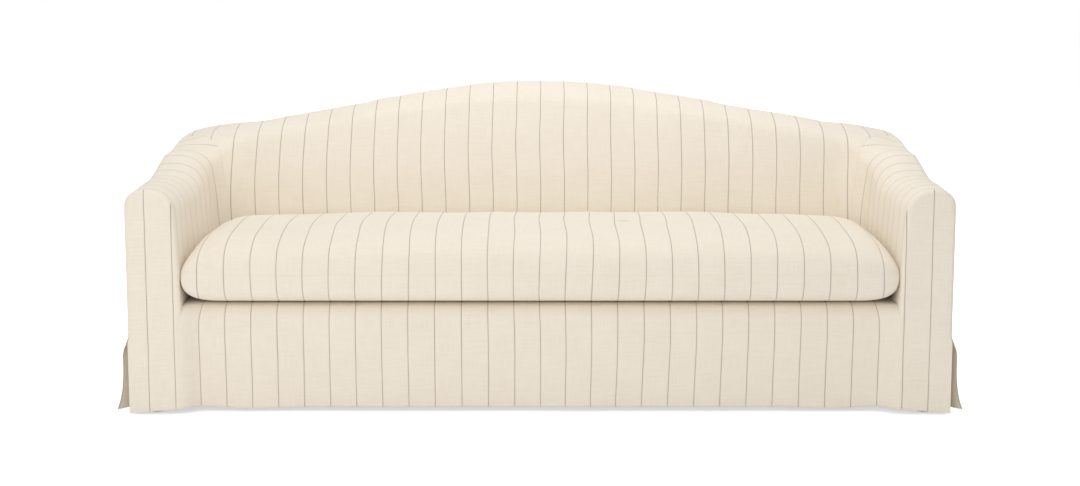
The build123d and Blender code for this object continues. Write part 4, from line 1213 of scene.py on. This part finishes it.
class SOFA_OT_seat_cushion(Operator):
    """Bench cushion: upper and lower cloth sewn round the middle, fibre wrap and foam inside"""
    bl_idname = "sofa.seat_cushion"
    bl_label = "Seat cushion"

    def execute(self, context):
        c = context.scene.sofa_cushion
        look = context.scene.sofa_cloth
        top, top_width = cushion_grid(c, "top", 0.0)
        bottom, bottom_width = cushion_grid(c, "bottom", 0.0)
        top, bottom = settled(c, top, bottom)
        top, bottom = (between_arms(context.scene.sofa_cover, half) for half in (top, bottom))
        bottom[..., 2] = np.maximum(bottom[..., 2], c.base)
        linen = linen_of(context)
        for name, spots, width, turned, seed in (("top", top, top_width, False, 101),
                                                 ("bottom", bottom, bottom_width, True, 111)):
            v = run_length(spots, 1)
            rim = rim_distance(spots)
            normal = outward(spots) * (-1 if turned else 1)
            soft = top_wave * waves(spots[..., 0], v, seed, top_wave_size) * rise_from(rim, 0.06)
            soft = soft * (name == "top")
            spots = spots + normal * (soft + groove(rim, seam_dip, seam_width))[..., None]
            along = -v if turned else v
            weave = np.stack([width + stripe_drift * waves(width, along, drift_seed, drift_size), along], -1)
            piece = cloth_piece(f"cushion_{name}_cloth", [Patch(spots, weave, turned)], linen, c.cloth)
            dress(piece, "seat_cushion", [f"cushion_{name}_panel"])
        fibre_fill = fibre("fibre_wrap", look.muslin, 260.0, 0.3)
        for name in ("top", "bottom"):
            near = cushion_grid(c, name, c.cloth + wrap_room)[0]
            far = cushion_grid(c, name, c.cloth + wrap_room + c.wrap)[0]
            piece = closed_piece(f"cushion_{name}_fibre", near, far, fibre_fill)
            dress(piece, "seat_cushion", [f"cushion_{name}_wrap"])
        inside = c.cloth + c.wrap + core_room
        core = closed_piece("cushion_foam", cushion_grid(c, "top", inside)[0],
                            cushion_grid(c, "bottom", inside)[0], foam(look))
        dress(core, "seat_cushion", ["cushion_core"])
        return {"FINISHED"}


class SOFA_OT_cushion_zip(Operator):
    """Zip along the rear of the cushion: tape, teeth and slider"""
    bl_idname = "sofa.cushion_zip"
    bl_label = "Cushion zip"

    def execute(self, context):
        look = context.scene.sofa_cloth
        low, high = node_box("cushion_zip_tape")
        x = np.linspace(high[0], low[0], 120)[:, None]
        z = np.linspace(low[2], high[2], 9)[None, :]
        bow = 0.0004 * np.cos(math.pi * (z - low[2]) / (high[2] - low[2]) * 2)
        spots = np.stack(np.broadcast_arrays(x, low[1] + 0.0007 + bow, z), -1)
        weave = np.stack(np.broadcast_arrays(x, z), -1)
        tape = cloth_piece("cushion_zip_band", [Patch(spots, weave, True)],
                           woven_strap("zip_tape", look.tape, 0.0012), 0.0006)
        dress(tape, "seat_cushion", ["cushion_zip_tape"])
        plastic = shared("moulded_nylon", nylon, context.scene.sofa_hard)
        tooth = new_object("cushion_zip_teeth", zip_teeth(low, high), plastic)
        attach(tooth, "seat_cushion")
        low, high = node_box("cushion_zip_slider")
        pull = new_object("cushion_zip_pull", zip_slider(low, high),
                          shared("spring_steel", steel, context.scene.sofa_hard))
        dress(pull, "zip_slider", ["cushion_zip_slider"])
        return {"FINISHED"}


def zip_teeth(low, high):
    """Row of small ridged teeth along the tape's middle: an eight-cornered form at even steps."""
    count = 420
    middle = (low[2] + high[2]) / 2
    corner = np.array([[-1, 0, -1], [1, 0, -1], [1, 0, 1], [-1, 0, 1],
                       [-0.5, 1, -0.8], [0.5, 1, -0.8], [0.5, 1, 0.8], [-0.5, 1, 0.8]], dtype=float)
    corner = corner * np.array([0.0014, 0.0009, 0.0028])
    x = np.linspace(low[0] + 0.004, high[0] - 0.004, count)
    stagger = 0.0007 * (-1.0) ** np.arange(count)
    base = np.stack([x, np.full(count, low[1] + 0.0011), middle + stagger], -1)
    spots = (base[:, None, :] + corner[None]).reshape(-1, 3)
    quad = np.array([[0, 1, 2, 3], [7, 6, 5, 4], [0, 4, 5, 1], [1, 5, 6, 2], [2, 6, 7, 3], [3, 7, 4, 0]])
    quads = (quad[None] + 8 * np.arange(count)[:, None, None]).reshape(-1, 4)
    mesh = new_mesh("cushion_zip_teeth", spots, quads)
    merge(mesh, 1e-7, face_out=True)
    return mesh


def zip_slider(low, high):
    """Slider as a pinched tube of rounded rectangles along x, with a hanging pull tab below it."""
    t = np.linspace(0, 1, 15)[:, None]
    turn = np.linspace(0, 2 * math.pi, 25)[None, :-1]
    square = (np.abs(np.cos(turn)) ** 4 + np.abs(np.sin(turn)) ** 4) ** -0.25
    middle, half = (low + high) / 2, (high - low) / 2
    plump = np.sin(math.pi * mix(0.10, 0.90, t)) ** 0.35
    waist = plump * (1 - 0.25 * np.exp(-((t - 0.35) / 0.14) ** 2))
    body = np.stack(np.broadcast_arrays(
        mix(low[0], high[0], t), middle[1] + half[1] * plump * square * np.sin(turn),
        middle[2] + half[2] * waist * square * np.cos(turn)), -1)
    drop = np.linspace(0, 1, 13)[:, None]
    wide = 0.0026 * mix(1.0, 1.35, drop) * np.sin(math.pi * mix(0.12, 0.92, drop)) ** 0.4
    tab = np.stack(np.broadcast_arrays(
        middle[0] + wide * square * np.cos(turn), high[1] - 0.0006 + 0.0005 * square * np.sin(turn),
        middle[2] - mix(0.0005, 0.0046, drop)), -1)
    spots = np.concatenate([body.reshape(-1, 3), tab.reshape(-1, 3)])
    quads = [tube_quads(*body.shape[:2]), tube_quads(*tab.shape[:2], first=body[..., 0].size)]
    mesh = new_mesh("cushion_zip_pull", spots, np.concatenate(quads))
    merge(mesh, 1e-7, face_out=True)
    return mesh


# Padding, felt, webbing and dust cloth

def wall_pad(name, s, cuts, inset, thick, bottom, finish, softness, seed):
    """Pad on the wall: two skins of the wall's section, set in by inset and by its thickness more."""
    skins = []
    for deep in (inset, inset + thick):
        w, z = wall_section(s, cuts, deep, bottom, over_edge=False)
        skins.append(placed(s, cuts, w, z))
    near, far = skins
    soft = -softness * (1 + waves(run_length(near, 0), run_length(near, 1), seed, 0.15) / 2)
    near = near + outward(near) * soft[..., None]
    return closed_piece(name, near, far, finish, bevel=0.006)


def felt_slab(name, low, high, finish, along, up, counts):
    """Flat felt in a box: two grids across its long sides, waved a little on the near side."""
    a = np.linspace(low[along[0]], high[along[0]], counts[0])[:, None]
    b = np.linspace(low[along[1]], high[along[1]], counts[1])[None, :]
    ruffle = 0.0004 * (1 + waves(a, b, 151, 0.12) / 2)
    skins = []
    for level in (high[up] - ruffle, low[up] + 0 * ruffle):
        axes = [None, None, None]
        axes[along[0]], axes[along[1]], axes[up] = a, b, level
        skins.append(np.stack(np.broadcast_arrays(*axes), -1))
    return closed_piece(name, skins[0], skins[1], finish, bevel=0.001)


class SOFA_OT_padding(Operator):
    """Arm, back, deck and front pads, the front edge roll and the felt over the springs"""
    bl_idname = "sofa.padding"
    bl_label = "Padding"

    def execute(self, context):
        s, p = context.scene.sofa_cover, context.scene.sofa_padding
        look = context.scene.sofa_cloth
        fill = fibre("padding_fibre", look.muslin, 220.0, 0.35)
        felt = fibre("spring_felt", look.felt, 420.0, 0.2)
        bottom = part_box("right_arm_pad")[0][2]
        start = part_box("right_arm_pad")[0][1] + s.depth / 2
        d = np.linspace(start, s.corner_d, 40)
        cuts = joined(arm_cuts(s, d), corner_cuts(s, np.linspace(0, s.seam_angle, 12)[1:]))
        for side, seed in (("right", 121), ("left", 131)):
            used = cuts if side == "right" else across(cuts)
            pad = wall_pad(f"{side}_arm_fibre", s, used, p.room, p.arm_pad, bottom, fill, p.softness, seed)
            dress(pad, "frame", [f"{side}_arm_pad"])
        pad = wall_pad("back_fibre", s, back_line(s), p.room, p.back_pad, bottom, fill, p.softness, 141)
        dress(pad, "frame", ["back_pad"])
        self.deck(s, p, fill)
        self.edge_roll(fill)
        for name, node, along, up, counts in (
                ("front_rail_felt", "front_rail_pad", (2, 0), 1, (24, 120)),
                ("spring_felt_sheet", "spring_insulator", (0, 1), 2, (120, 40))):
            piece = felt_slab(name, *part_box(node), felt, along, up, counts)
            dress(piece, "frame", [node])
        self.front_pads(s, fill)
        return {"FINISHED"}

    def deck(self, s, p, fill):
        """Deck pad: the seat opening's outline, short of the wall pads, between two levels."""
        low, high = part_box("deck_pad")
        d, edge = seat_lines(s, low[1] + s.depth / 2, 30)
        x = (edge + p.room - 2 * p.side_gap) * np.linspace(1, -1, 110)
        top = high[2] - 0.0006 * (1 + waves(x, d, 161, 0.2) / 2)
        skins = [np.stack([x, d - s.depth / 2 + 0 * x, level + 0 * x], -1) for level in (top, low[2])]
        pad = closed_piece("deck_fibre", skins[0], skins[1], fill, bevel=0.005)
        dress(pad, "frame", ["deck_pad"])

    def edge_roll(self, fill):
        """Front edge roll: a quarter-round nose over an upright face, carried along the front rail."""
        low, high = node_box("front_edge_roll")
        nose = high[1] - low[1]
        turn = np.linspace(0, math.pi / 2, 12)
        y = np.concatenate([np.full(6, low[1]), low[1] + nose * (1 - np.cos(turn))[1:], [high[1]]])
        z = np.concatenate([np.linspace(low[2], high[2] - nose, 6), high[2] - nose + nose * np.sin(turn)[1:],
                            [high[2]]])
        x = np.linspace(high[0], low[0], 140)[:, None]
        puff = 0.0006 * (1 + waves(x, 4 * z[None, :], 171, 0.14) / 2)
        near = np.stack(np.broadcast_arrays(x, y[None, :] + puff, z[None, :] - 0.3 * puff), -1)
        far = np.stack(np.broadcast_arrays(x, np.full((1, len(y)), high[1]),
                                           np.linspace(low[2], high[2] - 0.001, len(z))[None, :]), -1)
        roll = closed_piece("front_edge_fibre", near, far, fill)
        dress(roll, "frame", ["front_edge_roll"])

    def front_pads(self, s, fill):
        """Pads on the arm fronts: two pillowed slabs, thinner toward their edges."""
        low, high = node_box("arm_front_pads")
        inner = s.arm_inner_front + 0.048
        t = np.linspace(-1, 1, 24)
        puff = (1 - t[:, None] ** 6) ** 0.5 * (1 - t[None, :] ** 6) ** 0.5
        x = mix(inner, high[0], (t + 1) / 2)[:, None]
        z = mix(low[2], high[2], (t + 1) / 2)[None, :]
        front = mix(mix(low[1], high[1], 0.4), low[1], puff)
        rear = np.full_like(front, high[1])
        near, far = (np.stack(np.broadcast_arrays(x, y, z), -1) for y in (front, rear))
        for side, turn in (("right", 1.0), ("left", -1.0)):
            sign = np.array([turn, 1.0, 1.0])
            pad = closed_piece(f"{side}_arm_front_fibre", near * sign, far * sign, fill)
            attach(pad, "frame")
            if side == "right":
                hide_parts("arm_front_pads")


class SOFA_OT_webbing_and_dust_cloth(Operator):
    """Webbing across the back ribs and the thin cloth under the frame"""
    bl_idname = "sofa.webbing_and_dust_cloth"
    bl_label = "Webbing and dust cloth"

    def execute(self, context):
        s, p = context.scene.sofa_cover, context.scene.sofa_padding
        look = context.scene.sofa_cloth
        face = wall_arcs(s, back_cuts(s, np.zeros(1)))[0]
        low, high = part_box("back_webbing")
        radius = face[2][0] - (p.room + p.back_pad + 0.0008 + p.web_thickness / 2)
        x = np.linspace(high[0], low[0], 160)[:, None]
        t = np.linspace(-0.5, 0.5, 8)[None, :]
        patches = []
        for i in range(p.web_count):
            turn = math.asin((p.web_bottom + i * p.web_pitch - face[1][0]) / radius)
            out = s.seat_depth - s.depth / 2 + face[0][0]
            y = out - radius * math.cos(turn) + p.web_width * t * math.sin(turn)
            z = face[1][0] + radius * math.sin(turn) + p.web_width * t * math.cos(turn)
            spots = np.stack(np.broadcast_arrays(x, y, z), -1)
            weave = np.stack(np.broadcast_arrays(p.web_width * (t + i), x), -1)
            patches.append(Patch(spots, weave, False))
        piece = cloth_piece("back_webbing_straps", patches, woven_strap("jute_webbing", look.jute, 0.0045),
                            p.web_thickness * 0.9)
        piece.modifiers["thickness"].offset = 0
        dress(piece, "frame", ["back_webbing"])
        self.dust(look)
        return {"FINISHED"}

    def dust(self, look):
        """Dust cloth: a grid under the rails that sags a little, with square holes for the centre feet."""
        low, high = node_box("dust_cover")
        feet_low, feet_high = node_box("center_feet")
        half = (feet_high[1] - feet_low[1]) / 2
        foot_x, foot_y = feet_high[0] - half, feet_low[1] + half
        hole = half + 0.002
        x = np.unique(np.concatenate([np.linspace(low[0], high[0], 130), [foot_x - hole, foot_x + hole],
                                      [-foot_x - hole, -foot_x + hole]]))
        y = np.unique(np.concatenate([np.linspace(low[1], high[1], 60), [foot_y - hole, foot_y + hole]]))
        across_x, across_y = np.meshgrid(x, y, indexing="ij")
        wide, deep = high[0] - low[0], high[1] - low[1]
        bow = np.cos(math.pi * across_x / wide) * np.sin(math.pi * (across_y - low[1]) / deep)
        near = np.hypot(np.abs(across_x) - foot_x, across_y - foot_y)
        z = high[2] - 0.0002 - 0.004 * bow * ease((near - 0.05) / 0.2)
        spots = np.stack([across_x, across_y, z], -1).reshape(-1, 3)
        quads = grid_quads(len(x), len(y))
        middle = spots[quads].mean(axis=1)
        cut = (np.abs(np.abs(middle[:, 0]) - foot_x) < hole) & (np.abs(middle[:, 1] - foot_y) < hole)
        mesh = new_mesh("dust_cloth_sheet", spots, quads[~cut], spots[:, :2])
        piece = new_object("dust_cloth_sheet", mesh, dust_cloth(look))
        thicken(piece, 0.0006)
        dress(piece, "frame", ["dust_cover"])


# Hard parts keep their CAD shapes

class SOFA_OT_hard_parts(Operator):
    """Wood, steel and nylon finishes for the frame's hard parts"""
    bl_idname = "sofa.hard_parts"
    bl_label = "Hard parts"

    def execute(self, context):
        look = context.scene.sofa_hard
        pine = wood("frame_pine", look.pine, look.pine_grain, 420.0, 0.62)
        stained = wood("foot_wood", look.dark_wood, look.dark_grain, 700.0, 0.38)
        metal = shared("spring_steel", steel, look)
        plastic = shared("moulded_nylon", nylon, look)
        feet = ["left_front_foot", "right_front_foot", "left_rear_foot", "right_rear_foot", "center_feet"]
        metal_nodes = ["seat_springs", "spring_clips", "spring_tie_wires", "frame_screws", "foot_bolts"]
        boards = [
            "front_rail", "spring_rail", "rear_rail", "left_side_rail", "right_side_rail", "left_stretcher",
            "right_stretcher", "corner_blocks", "back_post_blocks", "left_front_post", "right_front_post",
            "left_back_post", "right_back_post", "left_arm_side_panel", "right_arm_side_panel",
            "left_arm_top_rail", "right_arm_top_rail", "left_outer_arm_board", "right_outer_arm_board",
            "back_ribs", "back_top_rail", "outer_back_board"]
        finishes = [(boards, pine), (feet, stained), (metal_nodes, metal), (["foot_glides"], plastic)]
        for names, finish in finishes:
            for name in names:
                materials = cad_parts[name].data.materials
                materials.clear()
                materials.append(finish)
        return {"FINISHED"}


class SOFA_OT_stage(Operator):
    """Pale floor, soft light and the camera"""
    bl_idname = "sofa.stage"
    bl_label = "Stage"

    def execute(self, context):
        scene = context.scene
        look, s = scene.sofa_stage, scene.sofa_cover
        scene.view_settings.view_transform = "Standard"
        self.floor(look)
        self.sky(scene, look)
        self.lamp("key", look.key_power, size=3.2, place=(-1.6, -4.9, 2.2), aim=(0.0, 0.1, 0.35))
        self.lamp("overhead", look.fill_power, size=3.0, place=(0.2, 0.45, 3.4), aim=(0.0, 0.0, 0.4))
        camera = bpy.data.cameras.new("camera")
        camera.lens = look.lens
        camera.sensor_width = 36.0
        holder = bpy.data.objects.new("camera", camera)
        holder.location = (0.0, -s.depth / 2 - look.camera_distance, look.camera_height)
        holder.rotation_euler = (math.pi / 2 - look.camera_pitch, 0.0, 0.0)
        scene.collection.objects.link(holder)
        scene.camera = holder
        return {"FINISHED"}

    def floor(self, look):
        """Flat floor grid that takes the sofa's shadow near by and is seen as plain white farther out."""
        count, half_wide, half_deep = 37, 1.15, 0.5
        line = np.linspace(-9.0, 9.0, count)
        spots = np.stack(np.broadcast_arrays(line[:, None], line[None, ::-1], 0.0), -1).reshape(-1, 3)
        f = Finish("floor")
        path = f.tree.nodes.new("ShaderNodeLightPath").outputs
        seen = f.sum("MAXIMUM", path["Is Camera Ray"],
                     f.sum("MAXIMUM", path["Is Glossy Ray"], path["Is Transmission Ray"]))
        place = f.object_place()
        x, y, _ = f.split(place)
        far_x = f.sum("SUBTRACT", f.sum("ABSOLUTE", x), half_wide)
        far_y = f.sum("SUBTRACT", f.sum("ABSOLUTE", y), half_deep)
        far = f.ramp(f.sum("MAXIMUM", far_x, far_y), 0.02, look.shadow_reach, look.glow, 1.0)
        cloud = f.ramp(f.noise(place, 3.0), 0.3, 0.7, 0.0, 0.02)
        tone = f.blend(cloud, rgba(look.floor), rgba(look.floor, 0.9))
        f.done(Base_Color=tone, Roughness=0.9, Specular_IOR_Level=0.0, Emission_Color=(1, 1, 1, 1),
               Emission_Strength=f.sum("MULTIPLY", seen, far))
        floor = new_object("floor", new_mesh("floor", spots, grid_quads(count, count)), f.material)

    def sky(self, scene, look):
        """Even white light from all round, seen as plain white."""
        world = bpy.data.worlds.new("studio")
        world.use_nodes = True
        scene.world = world
        nodes, links = world.node_tree.nodes, world.node_tree.links
        path = nodes.new("ShaderNodeLightPath").outputs
        seen = nodes.new("ShaderNodeMath")
        seen.operation = "MAXIMUM"
        links.new(path["Is Camera Ray"], seen.inputs[0])
        links.new(path["Is Transmission Ray"], seen.inputs[1])
        strength = nodes.new("ShaderNodeMapRange")
        links.new(seen.outputs[0], strength.inputs[0])
        strength.inputs[3].default_value = look.ambient
        strength.inputs[4].default_value = 1.0
        background = nodes["Background"]
        background.inputs["Color"].default_value = (1, 1, 1, 1)
        links.new(strength.outputs[0], background.inputs["Strength"])

    def lamp(self, name, power, size, place, aim):
        """Square area light at a place, turned so that it faces a point."""
        light = bpy.data.lights.new(name, "AREA")
        light.energy = power
        light.size = size
        holder = bpy.data.objects.new(name, light)
        holder.location = place
        dx, dy, dz = np.subtract(aim, place)
        holder.rotation_euler = (math.atan2(math.hypot(dx, dy), -dz), 0.0, math.atan2(dx, -dy) + math.pi)
        bpy.context.scene.collection.objects.link(holder)


steps = (
    SOFA_OT_hard_parts, SOFA_OT_padding, SOFA_OT_webbing_and_dust_cloth, SOFA_OT_cover_front,
    SOFA_OT_cover_arms, SOFA_OT_cover_back, SOFA_OT_cover_deck, SOFA_OT_seat_cushion,
    SOFA_OT_cushion_zip, SOFA_OT_stage)


class SOFA_PT_sofa(Panel):
    """Sizes, colours and steps of the sofa"""
    bl_idname = "SOFA_PT_sofa"
    bl_label = "Sofa"
    bl_space_type = "VIEW_3D"
    bl_region_type = "UI"
    bl_category = "Sofa"

    def draw(self, context):
        for name, group in groups.items():
            box = self.layout.box()
            box.label(text=group.__doc__)
            for key in group.__annotations__:
                box.prop(getattr(context.scene, name), key)
        for step in steps:
            self.layout.operator(step.bl_idname)


groups = {
    "sofa_cover": CoverSizes, "sofa_cushion": CushionSizes, "sofa_padding": PaddingSizes,
    "sofa_cloth": ClothLook, "sofa_hard": HardLook, "sofa_stage": StageLook}
classes = (*groups.values(), *steps, SOFA_PT_sofa)


def register():
    for cls in classes:
        bpy.utils.register_class(cls)
    for name, group in groups.items():
        setattr(bpy.types.Scene, name, PointerProperty(type=group))


def unregister():
    for name in groups:
        delattr(bpy.types.Scene, name)
    for cls in reversed(classes):
        bpy.utils.unregister_class(cls)


def main():
    register()
    for step in steps:
        family, name = step.bl_idname.split(".")
        getattr(getattr(bpy.ops, family), name)()


if __name__ == "__main__":
    main()
